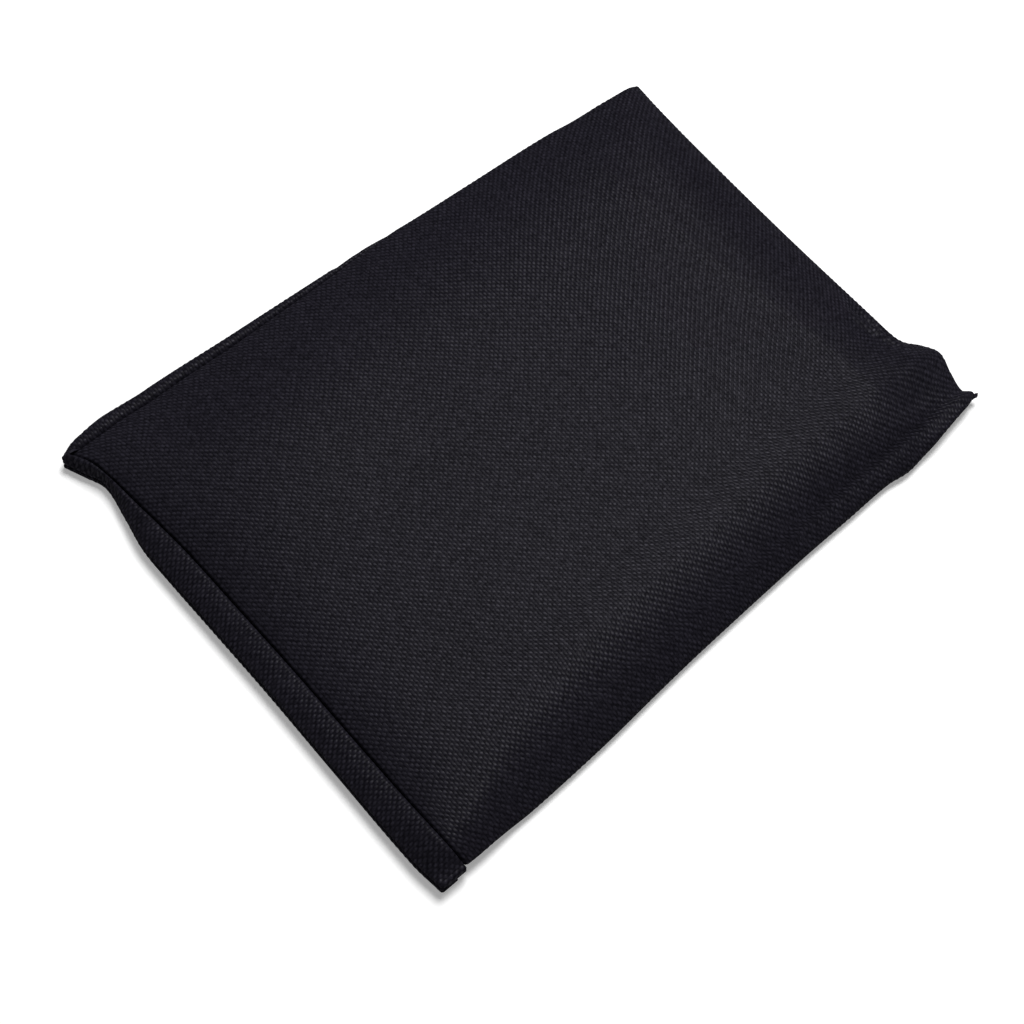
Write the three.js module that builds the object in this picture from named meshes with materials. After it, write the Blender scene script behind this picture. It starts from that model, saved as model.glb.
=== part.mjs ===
import * as THREE from 'three';

// A box-shaped dust cover for a compact projector, lying folded flat.
// Five pieces of coarse black oxford cloth are sewn together: the top panel and four walls.
// The panel lies uppermost. The long walls fold in under it, then the short walls fold in
// under those, with mitred corners, and carry the packet on the surface.
// Millimetres, +X along the long side, +Z up, origin under the middle of the packet.

// Cloth and sewing
const CLOTH = 1.0;
const SEAM_GAP = 0.5;
const SEAM_BEND = 0.6;
const SEAM_TURN_IN = 0.6;
const WALL_HEIGHT = 82;
const HEM_WIDTH = 15;
const HEM_TURN_THICKNESS = 0.6;

// Heights of the cloth's middle plane in each layer of the packet
const FLOOR_LAYER = CLOTH / 2;
const MITRE_BEND = 1.0;
const LONG_WALL_LAYER = 3.8;
const DOME_HEIGHT = 13.6;
const SEAM_RIM_RISE = 0.35;

// The panel's slope to each side: height at its rim, how much higher that is over the folded
// corners, width of the slope and how it rounds off
const SLOPE = {
  left: { rimHeight: 6.3, cornerLift: 0, width: 42, power: 2.0 },
  top: { rimHeight: 5.9, cornerLift: 0.5, width: 40, power: 1.8 },
  right: { rimHeight: 4.9, cornerLift: 0, width: 44, power: 1.35 },
  bottom: { rimHeight: 5.2, cornerLift: 1.0, width: 30, power: 2.1 },
};
const SLOPE_BLEND = 8;

// Two soft humps, where the layers underneath are loose
const HUMPS = [
  { x: -62, y: 22, radius: 34, height: 0.9 },
  { x: 52, y: -14, radius: 38, height: 1.3 },
];

// A pressed crease runs beside the right-hand fold, and the cloth falls away beyond it
const CREASE = [
  { at: -86, x: 86 },
  { at: -70, x: 88 },
  { at: -42, x: 90 },
  { at: 0, x: 82 },
  { at: 32, x: 76 },
  { at: 72, x: 78 },
];
const CREASE_RIDGE = 0.5;
const CREASE_HALF_WIDTH = 3.5;

// Left side: the seam between panel and wall, and the outer edge of the wall's folds
const LEFT = [
  { at: -97, seam: -111.2, edge: -122.2 },
  { at: -86, seam: -111.5, edge: -123.1 },
  { at: -50, seam: -111.8, edge: -123.1 },
  { at: -14, seam: -112.0, edge: -122.9 },
  { at: 12, seam: -112.6, edge: -123.0 },
  { at: 36, seam: -112.9, edge: -123.5 },
  { at: 50, seam: -113.8, edge: -123.1 },
  { at: 63, seam: -115.0, edge: -121.2 },
  { at: 76, seam: -115.8, edge: -120.2 },
  { at: 84, seam: -116.9, edge: -122.0 },
  { at: 91, seam: -118.4, edge: -123.2 },
];

// Top side: the outer edge, and how far past the start of the fold the seam lies
const TOP = [
  { at: -123, edge: 92.9, seam: -0.8 },
  { at: -120, edge: 94.8, seam: -2.6 },
  { at: -108, edge: 96.9, seam: -3.7 },
  { at: -98, edge: 96.6, seam: -2.7 },
  { at: -78, edge: 95.3, seam: -2.2 },
  { at: -57, edge: 94.0, seam: -2.0 },
  { at: -36, edge: 92.9, seam: -1.1 },
  { at: -15, edge: 92.0, seam: -0.3 },
  { at: 0, edge: 91.2, seam: 1.2 },
  { at: 18, edge: 89.8, seam: 4.6 },
  { at: 47, edge: 87.5, seam: 8.0 },
  { at: 80, edge: 85.0, seam: 7.6 },
  { at: 100, edge: 82.9, seam: 6.0 },
  { at: 120, edge: 80.6, seam: 3.4 },
];

// Right side: the panel rolls under, and bulges out near its lower corner
const RIGHT = [
  { at: -87, edge: 119.2, seam: 2.4 },
  { at: -83, edge: 118.2, seam: 2.6 },
  { at: -75, edge: 120.4, seam: 3.2 },
  { at: -67.5, edge: 123.3, seam: 4.2 },
  { at: -61.5, edge: 120.3, seam: 5.0 },
  { at: -57.5, edge: 116.5, seam: 5.6 },
  { at: -53.5, edge: 114.2, seam: 6.0 },
  { at: -42, edge: 114.6, seam: 6.8 },
  { at: 0, edge: 116.5, seam: 7.4 },
  { at: 46, edge: 118.7, seam: 6.4 },
  { at: 68, edge: 119.6, seam: 4.4 },
  { at: 81, edge: 120.2, seam: 2.8 },
];

// Bottom side: the panel rolls under all the way, with a small shoulder near the right
const BOTTOM = [
  { at: -111, edge: -97.0, seam: 2.2 },
  { at: -104, edge: -96.9, seam: 4.0 },
  { at: -80, edge: -95.5, seam: 7.0 },
  { at: -54, edge: -94.0, seam: 8.4 },
  { at: -11, edge: -92.7, seam: 8.8 },
  { at: 33, edge: -91.8, seam: 8.6 },
  { at: 57, edge: -90.7, seam: 8.0 },
  { at: 75, edge: -90.6, seam: 7.4 },
  { at: 83, edge: -91.8, seam: 7.0 },
  { at: 90, edge: -91.7, seam: 6.6 },
  { at: 98, edge: -90.4, seam: 6.0 },
  { at: 108, edge: -88.6, seam: 4.6 },
  { at: 119, edge: -87.2, seam: 2.4 },
];

// The left wall folds outwards over its strip, tucks in, and folds again on the surface
const LEFT_UPPER_BEND = 1.2;
const LEFT_LOWER_BEND = 1.1;
const LEFT_TUCK_DEPTH = 2.0;
const LEFT_UPPER_SET_BACK = 0.3;

// Where the corner seams lie once the walls are folded under
const LEFT_CORNER_SEAM = -114.5;
const RIGHT_CORNER_SEAM = 104.5;
const LEFT_WALL_ENDS = { bottom: -97.0, top: 90.3 };
const RIGHT_WALL_ENDS = { bottom: -82.5, top: 75.5 };
const TOP_WALL_ENDS = { left: -122.6, right: 113.2 };
const BOTTOM_WALL_ENDS = { left: -109.6, right: 112.0 };
const CORNER_SHEAR = { start: 3, end: 10 };

// Under the packet the right wall's edge runs straight, whatever its seam does
const RIGHT_WALL_STRAIGHT = { line: 113.0, start: 8, end: 24 };

// The long walls rest on the short ones near the ends and sag to the surface between them
const LEFT_WALL_REACH = 61;
const RIGHT_WALL_REACH = 79;
const SAG = { from: -34, to: -17 };

const BLACK_CLOTH = { color: 0x232227, roughness: 0.86, metalness: 0.0 };

// A smooth curve through one column of a table
function curveThrough(rows, column) {
  const slopes = rows.map((row, i) => {
    const before = rows[Math.max(i - 1, 0)];
    const after = rows[Math.min(i + 1, rows.length - 1)];
    return (after[column] - before[column]) / (after.at - before.at);
  });
  return (at) => {
    let i = 0;
    while (i < rows.length - 2 && at > rows[i + 1].at) i += 1;
    const a = rows[i];
    const b = rows[i + 1];
    const span = b.at - a.at;
    const t = THREE.MathUtils.clamp((at - a.at) / span, 0, 1);
    const h = t * t * (3 - 2 * t);
    const bend = span * t * (1 - t) * (slopes[i] * (1 - t) - slopes[i + 1] * t);
    return a[column] * (1 - h) + b[column] * h + bend;
  };
}

const smooth = (from, to, value) => THREE.MathUtils.smoothstep(value, from, to);

const leftSeam = curveThrough(LEFT, 'seam');
const leftEdge = curveThrough(LEFT, 'edge');
const creaseLine = curveThrough(CREASE, 'x');

const topEdge = curveThrough(TOP, 'edge');
const bottomEdge = curveThrough(BOTTOM, 'edge');
const rightEdge = curveThrough(RIGHT, 'edge');

// Share of the way that the long walls' lower layer is raised over the folded short walls
function raisedShare(x, y) {
  const ends = Math.min(topEdge(x) - y, y - bottomEdge(x));
  const overLeft = Math.min(ends, LEFT_WALL_REACH) - (x - LEFT[0].edge);
  const overRight = Math.min(ends, RIGHT_WALL_REACH) - (RIGHT[RIGHT.length - 1].edge - x);
  return Math.max(smooth(SAG.from, SAG.to, overLeft), smooth(SAG.from, SAG.to, overRight));
}

function longWallHeight(x, y) {
  return FLOOR_LAYER + (LONG_WALL_LAYER - FLOOR_LAYER) * raisedShare(x, y);
}

// Slope at a rim, as an angle below level
function slopeAngle(slope) {
  return Math.atan(((DOME_HEIGHT - slope.rimHeight) * slope.power) / slope.width);
}

// How far inside the outer edge the panel's slope ends and its roll begins
function rollInset(slope, raised) {
  const angle = slopeAngle(slope);
  const layer = FLOOR_LAYER + (LONG_WALL_LAYER - FLOOR_LAYER) * raised;
  const radius = (slope.rimHeight + slope.cornerLift * raised - layer) / (1 + Math.cos(angle));
  return CLOTH / 2 + radius * (1 - Math.sin(angle));
}

const topRim = (x) => topEdge(x) - rollInset(SLOPE.top, raisedShare(x, topEdge(x)));
const bottomRim = (x) => bottomEdge(x) + rollInset(SLOPE.bottom, raisedShare(x, bottomEdge(x)));
const rightRim = (y) => rightEdge(y) - rollInset(SLOPE.right, 0);

// How far the panel has dropped at a distance inside one of its rims
function slopeDrop(slope, distance, raised) {
  const left = THREE.MathUtils.clamp(1 - distance / slope.width, 0, 1);
  return (DOME_HEIGHT - slope.rimHeight - slope.cornerLift * raised) * left ** slope.power;
}

// Height of the panel's middle plane, inside its rims
function panelHeight(x, y) {
  const drops = [
    slopeDrop(SLOPE.left, x - leftSeam(y), 0),
    slopeDrop(SLOPE.top, topRim(x) - y, raisedShare(x, topEdge(x))),
    slopeDrop(SLOPE.right, rightRim(y) - x, 0),
    slopeDrop(SLOPE.bottom, y - bottomRim(x), raisedShare(x, bottomEdge(x))),
  ];
  const drop = drops.reduce((sum, each) => sum + each ** SLOPE_BLEND, 0) ** (1 / SLOPE_BLEND);
  const open = THREE.MathUtils.clamp(1 - drop / (DOME_HEIGHT - SLOPE.right.rimHeight), 0, 1);
  let height = DOME_HEIGHT - drop;
  for (const hump of HUMPS) {
    const away = Math.hypot(x - hump.x, y - hump.y) / hump.radius;
    height += open * hump.height * Math.exp(-away * away);
  }
  const fromCrease = (x - creaseLine(y)) / CREASE_HALF_WIDTH;
  return height + open * CREASE_RIDGE * Math.exp(-Math.abs(fromCrease));
}

// One rolled edge, seen in section: the way out from the rim and the drop below it
function rollSection(rimHeight, slope, layerHeight, length) {
  const radius = (rimHeight - layerHeight(0)) / (1 + Math.cos(slope));
  const turn = slope + length / radius;
  if (turn < Math.PI) {
    return {
      out: radius * (Math.sin(turn) - Math.sin(slope)),
      drop: radius * (Math.cos(slope) - Math.cos(turn)),
    };
  }
  const past = length - radius * (Math.PI - slope);
  const out = -radius * Math.sin(slope) - past;
  return { out, drop: rimHeight - layerHeight(past) };
}

const NUDGE = 0.05;

// A point of the cloth at flattened place (x, y): past a rim it follows the roll
function clothPoint(x, y) {
  const insideY = THREE.MathUtils.clamp(y, bottomRim(x), topRim(x));
  const baseX = Math.min(x, rightRim(insideY));
  const baseY = THREE.MathUtils.clamp(y, bottomRim(baseX), topRim(baseX));
  const height = panelHeight(baseX, baseY);
  const point = new THREE.Vector3(baseX, baseY, height);
  let dropX = 0;
  let dropY = 0;
  if (x > baseX) {
    const slope = Math.atan((panelHeight(baseX - NUDGE, baseY) - height) / NUDGE);
    const roll = rollSection(height, slope, () => FLOOR_LAYER, x - baseX);
    point.x += roll.out;
    dropX = roll.drop;
  }
  if (y !== baseY) {
    const sign = Math.sign(y - baseY);
    const slope = Math.atan((panelHeight(baseX, baseY - sign * NUDGE) - height) / NUDGE);
    const layer = (past) => longWallHeight(baseX, baseY - sign * past);
    const roll = rollSection(height, slope, layer, Math.abs(y - baseY));
    point.y += sign * roll.out;
    dropY = roll.drop;
  }
  point.z -= Math.hypot(dropX, dropY);
  return point;
}

// Inward normal of a surface given as a function of two measures. The hand is 1 where the
// first measure turned a quarter anticlockwise, seen from outside, gives the second, else -1
function inwardNormal(surface, u, v, hand) {
  const du = surface(u + NUDGE, v).sub(surface(u - NUDGE, v));
  const dv = surface(u, v + NUDGE).sub(surface(u, v - NUDGE));
  return du.cross(dv).normalize().multiplyScalar(-hand);
}

// The cloth's edge turns down into a seam: distance from the seam's middle, and depth
const SEAM_TURN_STEPS = 2;
function seamTurn() {
  const half = SEAM_GAP / 2 + CLOTH / 2;
  const places = [{ away: half, depth: SEAM_BEND + SEAM_TURN_IN }];
  for (let i = 0; i <= SEAM_TURN_STEPS; i += 1) {
    const angle = (Math.PI / 2) * (1 - i / SEAM_TURN_STEPS);
    places.push({
      away: half + SEAM_BEND * (1 - Math.sin(angle)),
      depth: SEAM_BEND * (1 - Math.cos(angle)),
    });
  }
  return places;
}
const SEAM_TURN = seamTurn();
const SEAM_SHOULDER = SEAM_TURN[SEAM_TURN.length - 1].away;

// Measures along a piece: turned-in seam edge, then distances from it
function fromSeam(distances) {
  return [...SEAM_TURN, ...distances.map((away) => ({ away: SEAM_SHOULDER + away, depth: 0 }))];
}

function evenly(from, to, count) {
  return Array.from({ length: count + 1 }, (_, i) => from + ((to - from) * i) / count);
}

// A closed sheet around a grid of points of its middle plane, thicker inwards where hemmed
function sheetGeometry(grid, hemmed = () => 0) {
  const columns = grid.length;
  const rows = grid[0].length;
  const direction = (i, j, di, dj) => {
    const sum = new THREE.Vector3();
    for (const step of [-1, 1]) {
      const other = grid[i + di * step]?.[j + dj * step];
      if (other) sum.add(other.clone().sub(grid[i][j]).normalize().multiplyScalar(step));
    }
    return sum;
  };
  const positions = [];
  for (const face of [1, -1]) {
    for (let i = 0; i < columns; i += 1) {
      for (let j = 0; j < rows; j += 1) {
        const normal = direction(i, j, 1, 0).cross(direction(i, j, 0, 1)).normalize();
        const extra = face < 0 ? hemmed(i, j) : 0;
        const point = grid[i][j].clone().addScaledVector(normal, face * (CLOTH / 2 + extra));
        positions.push(point.x, point.y, point.z);
      }
    }
  }
  const index = [];
  const at = (i, j, face) => face * columns * rows + i * rows + j;
  const quad = (a, b, c, d) => index.push(a, b, c, a, c, d);
  for (let i = 0; i < columns - 1; i += 1) {
    for (let j = 0; j < rows - 1; j += 1) {
      quad(at(i, j, 0), at(i + 1, j, 0), at(i + 1, j + 1, 0), at(i, j + 1, 0));
      quad(at(i, j, 1), at(i, j + 1, 1), at(i + 1, j + 1, 1), at(i + 1, j, 1));
    }
  }
  for (let i = 0; i < columns - 1; i += 1) {
    quad(at(i, 0, 0), at(i, 0, 1), at(i + 1, 0, 1), at(i + 1, 0, 0));
    quad(at(i + 1, rows - 1, 0), at(i + 1, rows - 1, 1), at(i, rows - 1, 1), at(i, rows - 1, 0));
  }
  for (let j = 0; j < rows - 1; j += 1) {
    quad(at(0, j + 1, 0), at(0, j + 1, 1), at(0, j, 1), at(0, j, 0));
    quad(at(columns - 1, j, 0), at(columns - 1, j, 1), at(columns - 1, j + 1, 1), at(columns - 1, j + 1, 0));
  }
  const geometry = new THREE.BufferGeometry();
  geometry.setAttribute('position', new THREE.Float32BufferAttribute(positions, 3));
  geometry.setIndex(index);
  geometry.computeVertexNormals();
  return geometry;
}

function clothMesh(name, geometry) {
  const mesh = new THREE.Mesh(geometry, new THREE.MeshStandardMaterial(BLACK_CLOTH));
  mesh.name = name;
  return mesh;
}

const topSeamPast = curveThrough(TOP, 'seam');
const bottomSeamPast = curveThrough(BOTTOM, 'seam');
const rightSeamPast = curveThrough(RIGHT, 'seam');

// Seam lines around the panel, measured on the flattened cloth
const seamLine = {
  left: leftSeam,
  right: (y) => rightRim(y) + rightSeamPast(y),
  top: (x) => topRim(x) + topSeamPast(x),
  bottom: (x) => bottomRim(x) - bottomSeamPast(x),
};

// Measures in from the panel's seams: closely spaced round the rolls, wide on the flat
const PANEL_FROM_LEFT = [4, 10, 18, 30];
const PANEL_FROM_RIGHT = [0.9, 1.8, 2.8, 3.9, 5.2, 7, 10, 15, 22, 30, 36, 42, 50];
const PANEL_FROM_BOTTOM = [0.9, 1.9, 3, 4.2, 5.5, 7, 9, 11.5, 15, 19, 23, 27, 31, 35, 39, 45, 54];
const PANEL_FROM_TOP = [1.1, 2.2, 3.3, 4.5, 5.7, 7, 9, 12, 17, 25, 36];
const PANEL_MIDDLE_COLUMNS = 7;
const PANEL_MIDDLE_ROWS = 4;
const PLACING_PASSES = 3;

// Places across the panel, each a function of the seams on its two sides
function acrossPanel(fromLow, fromHigh, middle) {
  const near = fromSeam(fromLow);
  const far = fromSeam(fromHigh).reverse();
  const start = near[near.length - 1].away;
  const end = far[0].away;
  return [
    ...near.map(({ away, depth }) => ({
      depth, at: (low) => low + away, seam: (low) => low,
    })),
    ...evenly(0, 1, middle).slice(1, -1).map((share) => ({
      depth: 0, at: (low, high) => low + start + (high - end - low - start) * share,
    })),
    ...far.map(({ away, depth }) => ({
      depth, at: (low, high) => high - away, seam: (low, high) => high,
    })),
  ];
}

// The top panel: domed, sloping to its seams on two sides and rolling over on the others
function topPanel() {
  const columns = acrossPanel(PANEL_FROM_LEFT, PANEL_FROM_RIGHT, PANEL_MIDDLE_COLUMNS);
  const rows = acrossPanel(PANEL_FROM_BOTTOM, PANEL_FROM_TOP, PANEL_MIDDLE_ROWS);
  const place = (across, up) => {
    let x = 0;
    let y = 0;
    for (let pass = 0; pass < PLACING_PASSES; pass += 1) {
      x = across(seamLine.left(y), seamLine.right(y));
      y = up(seamLine.bottom(x), seamLine.top(x));
    }
    return [x, y];
  };
  const onSeam = (line) => (line.depth > 0 ? line.seam : line.at);
  const grid = columns.map((column) => rows.map((row) => {
    const point = clothPoint(...place(column.at, row.at));
    const depth = Math.max(column.depth, row.depth);
    if (depth === 0) return point;
    const [x, y] = place(onSeam(column), onSeam(row));
    return point.addScaledVector(inwardNormal(clothPoint, x, y, 1), depth);
  }));
  return clothMesh('top_panel', sheetGeometry(grid));
}

// Measures down a wall from its seam: closely spaced round the folds, and at the hem's step
const HEM_STEP = 0.3;
const HEM_TOP = WALL_HEIGHT - HEM_WIDTH;

function downWall(distances) {
  const hem = [HEM_TOP - HEM_STEP, HEM_TOP, WALL_HEIGHT].map((away) => ({ away, depth: 0 }));
  return [...fromSeam(distances), ...hem];
}

// A point of a wall, with its seam edge turned in beside the panel's
function wallPoint(surface, along, row, hand) {
  const point = surface(along, row.away);
  if (row.depth === 0) return point;
  return point.addScaledVector(inwardNormal(surface, along, 0, hand), row.depth);
}

// A wall from its lines of points down from the seam, with its hem's second and third thickness
function wallMesh(name, lines, rows, hand, isFlap) {
  if (hand < 0) lines.reverse();
  const hemmed = (i, j) => (rows[j].away >= HEM_TOP && !isFlap(i) ? HEM_TURN_THICKNESS : 0);
  return clothMesh(name, sheetGeometry(lines, hemmed));
}

// Stations along a long wall, from each of its ends
const LONG_WALL_STATIONS = [0, 1.5, 4, 8, 13, 19, 26, 34];
const LONG_WALL_MIDDLE = 12;
const LONG_WALL_ROWS = [0.9, 1.9, 2.9, 4, 5.1, 6.3, 7.6, 9, 11, 14, 18, 23, 28, 33, 40, 50];

// A long wall: folded in under the panel, over the ends of the short walls
function longWall(name, { ends, seam, hand }) {
  const length = ends.right - ends.left;
  const inner = LONG_WALL_STATIONS[LONG_WALL_STATIONS.length - 1];
  const stations = [
    ...LONG_WALL_STATIONS,
    ...evenly(inner, length - inner, LONG_WALL_MIDDLE).slice(1, -1),
    ...LONG_WALL_STATIONS.map((along) => length - along).reverse(),
  ];
  const rows = downWall(LONG_WALL_ROWS);
  const surface = (along, away) => {
    const top = ends.left + along;
    const under = THREE.MathUtils.mapLinear(along, 0, length, LEFT_CORNER_SEAM, RIGHT_CORNER_SEAM);
    const x = top + (under - top) * smooth(CORNER_SHEAR.start, CORNER_SHEAR.end, away);
    return clothPoint(x, seam(top) + hand * away);
  };
  const lines = stations.map((along) => rows.map((row) => wallPoint(surface, along, row, hand)));
  return wallMesh(name, lines, rows, hand, () => false);
}

// A point of cloth lying on the surface, folded back over itself across a corner at 45 degrees
function mitred(x, y, corner, towards) {
  const across = ((corner.y - y) * towards.y + (x - corner.x) * -towards.x) / Math.SQRT2;
  const half = (Math.PI * MITRE_BEND) / 2;
  if (across >= half) return new THREE.Vector3(x, y, FLOOR_LAYER);
  const round = half - across;
  const turn = Math.min(round / MITRE_BEND, Math.PI);
  const straight = Math.max(round - Math.PI * MITRE_BEND, 0);
  const now = half - MITRE_BEND * Math.sin(turn) + straight;
  const shift = (across - now) / Math.SQRT2;
  const height = FLOOR_LAYER + MITRE_BEND * (1 - Math.cos(turn));
  return new THREE.Vector3(x + shift * towards.x, y + shift * towards.y, height);
}

// Stations along a short wall for one row of it: folded-back corner, its bend, then the middle
const MITRE_BEND_STEPS = 5;
const MITRE_FLAT_STEPS = 2;
const MITRE_LEAST = 0.6;
const ON_SURFACE = FLOOR_LAYER + 0.1;
const EVEN_UNDER = 90;

function shortWallStations(ends, flapWidth, shares) {
  const bendWidth = Math.PI * MITRE_BEND * Math.SQRT2;
  const flap = Math.max(flapWidth - bendWidth / 2, MITRE_LEAST);
  const corner = [
    ...evenly(0, flap, MITRE_FLAT_STEPS).slice(0, -1),
    ...evenly(flap, flap + bendWidth, MITRE_BEND_STEPS),
  ];
  const low = corner.map((away) => ends.bottom + away);
  const high = corner.map((away) => ends.top - away).reverse();
  const start = low[low.length - 1];
  const span = high[0] - start;
  const uneven = smooth(0, EVEN_UNDER, span);
  const middle = shares.map((share, i) => {
    const even = (i + 1) / (shares.length + 1);
    return start + span * (even + (share - even) * uneven);
  });
  return [...low, ...middle, ...high];
}

// A short wall: down to the surface, and in under the packet with mitred corners
function shortWall(name, { ends, cornerX, hand, rows, shares, surface }) {
  const middleY = (ends.top + ends.bottom) / 2;
  const inward = hand;
  const pastCorner = (point) => (point.z < ON_SURFACE ? (point.x - cornerX) * inward : 0);
  const folded = (y, away) => {
    const point = surface(y, away);
    if (pastCorner(point) <= 0) return point;
    const side = Math.sign(y - middleY);
    const corner = { x: cornerX, y: side > 0 ? ends.top : ends.bottom };
    return mitred(point.x, y, corner, { x: inward, y: side });
  };
  const stations = rows.map((row) => (
    shortWallStations(ends, pastCorner(surface(middleY, row.away)), shares)
  ));
  const count = stations[0].length;
  const lines = Array.from({ length: count }, (_, i) => (
    rows.map((row, j) => wallPoint(folded, stations[j][i], row, hand))
  ));
  const flapColumns = MITRE_FLAT_STEPS + MITRE_BEND_STEPS;
  const isFlap = (i) => Math.min(i, count - 1 - i) <= flapColumns;
  return wallMesh(name, lines, rows, hand, isFlap);
}

const LEFT_WALL_ROWS = downWall([
  3, 7.3, 8.3, 9.3, 10.3, 11.3, 12.3, 13.8, 14.6, 15.3, 16, 16.8, 18.8, 19.9, 21, 22.1, 23.2,
  26, 33, 42, 54,
]);

const LEFT_WALL_SHARES = evenly(0, 1, 9).slice(1, -1);

// The left wall's section: strip, fold, tuck, lower fold, then in along the surface
function leftWallSurface(y, away) {
  const seamX = leftSeam(y);
  const edge = leftEdge(y);
  const stripHeight = panelHeight(seamX, y) + SEAM_RIM_RISE;
  const upperX = edge + LEFT_UPPER_SET_BACK + CLOTH / 2 + LEFT_UPPER_BEND;
  const lowerX = edge + CLOTH / 2 + LEFT_LOWER_BEND;
  const tuckX = upperX + LEFT_TUCK_DEPTH;
  const tuckBend = (stripHeight - FLOOR_LAYER) / 2 - LEFT_UPPER_BEND - LEFT_LOWER_BEND;
  const moves = [
    { straight: seamX - upperX, heading: -1 },
    { bend: LEFT_UPPER_BEND, heading: -1 },
    { straight: LEFT_TUCK_DEPTH, heading: 1 },
    { bend: tuckBend, heading: 1 },
    { straight: tuckX - lowerX, heading: -1 },
    { bend: LEFT_LOWER_BEND, heading: -1 },
    { straight: Infinity, heading: 1 },
  ];
  let x = seamX;
  let z = stripHeight;
  let left = away;
  for (const move of moves) {
    const step = Math.min(left, move.straight ?? Math.PI * move.bend);
    if (move.straight !== undefined) {
      x += move.heading * step;
    } else {
      const turn = step / move.bend;
      x += move.heading * move.bend * Math.sin(turn);
      z -= move.bend * (1 - Math.cos(turn));
    }
    left -= step;
    if (left <= 0) break;
  }
  return new THREE.Vector3(x, y, z);
}

const RIGHT_WALL_ROWS = downWall([0.9, 1.9, 3, 4.5, 7, 12, 16, 24, 36, 52]);
const RIGHT_WALL_SHARES = [
  0.03, 0.055, 0.08, 0.105, 0.13, 0.155, 0.18, 0.21, 0.25, 0.35, 0.5, 0.66, 0.83,
];

// The right wall's section: out of the seam under the panel's roll, straightening inwards
function rightWallSurface(y, away) {
  const point = clothPoint(seamLine.right(y) + away, y);
  const straightened = smooth(RIGHT_WALL_STRAIGHT.start, RIGHT_WALL_STRAIGHT.end, away);
  point.x += (RIGHT_WALL_STRAIGHT.line - rightRim(y)) * straightened;
  point.y = y;
  return point;
}

const model = new THREE.Group();
model.add(
  topPanel(),
  longWall('back_wall', { ends: TOP_WALL_ENDS, seam: seamLine.top, hand: 1 }),
  longWall('front_wall', { ends: BOTTOM_WALL_ENDS, seam: seamLine.bottom, hand: -1 }),
  shortWall('left_wall', {
    ends: LEFT_WALL_ENDS,
    cornerX: LEFT_CORNER_SEAM,
    hand: 1,
    rows: LEFT_WALL_ROWS,
    shares: LEFT_WALL_SHARES,
    surface: leftWallSurface,
  }),
  shortWall('right_wall', {
    ends: RIGHT_WALL_ENDS,
    cornerX: RIGHT_CORNER_SEAM,
    hand: -1,
    rows: RIGHT_WALL_ROWS,
    shares: RIGHT_WALL_SHARES,
    surface: rightWallSurface,
  }),
);

export default model;
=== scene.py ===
import math
from collections import namedtuple

import bpy
import numpy as np
from bpy.props import FloatProperty, FloatVectorProperty, PointerProperty
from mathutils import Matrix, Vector


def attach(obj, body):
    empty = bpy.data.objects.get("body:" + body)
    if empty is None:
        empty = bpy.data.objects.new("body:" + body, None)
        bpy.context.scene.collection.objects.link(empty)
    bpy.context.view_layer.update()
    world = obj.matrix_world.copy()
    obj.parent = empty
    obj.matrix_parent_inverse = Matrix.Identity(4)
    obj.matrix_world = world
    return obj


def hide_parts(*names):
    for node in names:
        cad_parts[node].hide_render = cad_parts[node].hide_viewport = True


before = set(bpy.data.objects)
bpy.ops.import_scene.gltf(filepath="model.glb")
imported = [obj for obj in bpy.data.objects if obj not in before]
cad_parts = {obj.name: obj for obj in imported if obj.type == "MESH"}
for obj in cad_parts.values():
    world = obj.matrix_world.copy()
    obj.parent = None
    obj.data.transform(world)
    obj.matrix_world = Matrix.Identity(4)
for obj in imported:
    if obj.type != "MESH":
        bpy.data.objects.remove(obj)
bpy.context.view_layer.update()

# A box-shaped dust cover for a compact projector, sewn from coarse black oxford cloth and lying
# folded flat. The top panel lies uppermost, and the four walls are folded in under it. Sizes are
# millimetres in the part's own frame where no comment says otherwise, and MM turns them into
# Blender's metres.

bl_info = {
    "name": "Folded Dust Cover",
    "version": (1, 0, 0),
    "blender": (4, 5, 0),
    "location": "View3D > Sidebar > Dust Cover",
    "description": "Builds a black oxford projector dust cover, folded flat, with its stage",
    "category": "Add Mesh",
}

MM = 0.001
BODY = "root"

# Layers of the folded packet: heights of the cloth's middle plane
FLOOR_LAYER = 0.5
LONG_WALL_LAYER = 3.8
DOME_HEIGHT = 12.8

# Walls, hems and the hems' stitches
WALL_HEIGHT = 82.0
HEM_WIDTH = 15.0
HEM_TOP = WALL_HEIGHT - HEM_WIDTH
HEM_TURN_THICKNESS = 0.6
HEM_STEP = 0.3
STITCH_INSET = 1.8
STITCH_MARGIN = 3.0
STITCH_SINK = 0.06
STITCH_SEED = 7
STITCH_LEAST = (0.85, 0.9, 0.9)
STITCH_MOST = (1.1, 1.1, 1.0)
BALL_SUBDIVISIONS = 2

# Slope of the panel to each of its sides, down to its rim. The slope to the near side is wider at
# the lobe and narrower at the left corner, and the slope to the left fades towards that corner.
Slope = namedtuple("Slope", "rim_height corner_lift width power")
SLOPE_LEFT = Slope(rim_height=8.4, corner_lift=0.0, width=30.0, power=3.0)
SLOPE_TOP = Slope(rim_height=5.9, corner_lift=0.5, width=54.0, power=2.7)
SLOPE_RIGHT = Slope(rim_height=4.9, corner_lift=0.0, width=28.0, power=2.5)
SLOPE_BOTTOM = Slope(rim_height=5.2, corner_lift=1.0, width=26.0, power=2.1)
LOBE_WIDENING = 14.0
LOBE_STARTS = (84.0, 108.0)
CORNER_NARROWING = 9.0
CORNER_STARTS = (-78.0, -104.0)
LEFT_FADES = (-62.0, -94.0)
LEFT_LEAST = 0.22

# The slopes run softly into each other high up and more sharply near the rims, and the rolls run
# into each other at the corners
CORNER_BLEND = 8
SOFT_BLEND = 3.5
SHARP_BLEND = 8.0
BLEND_DROPS = (3.0, 7.3)

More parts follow.
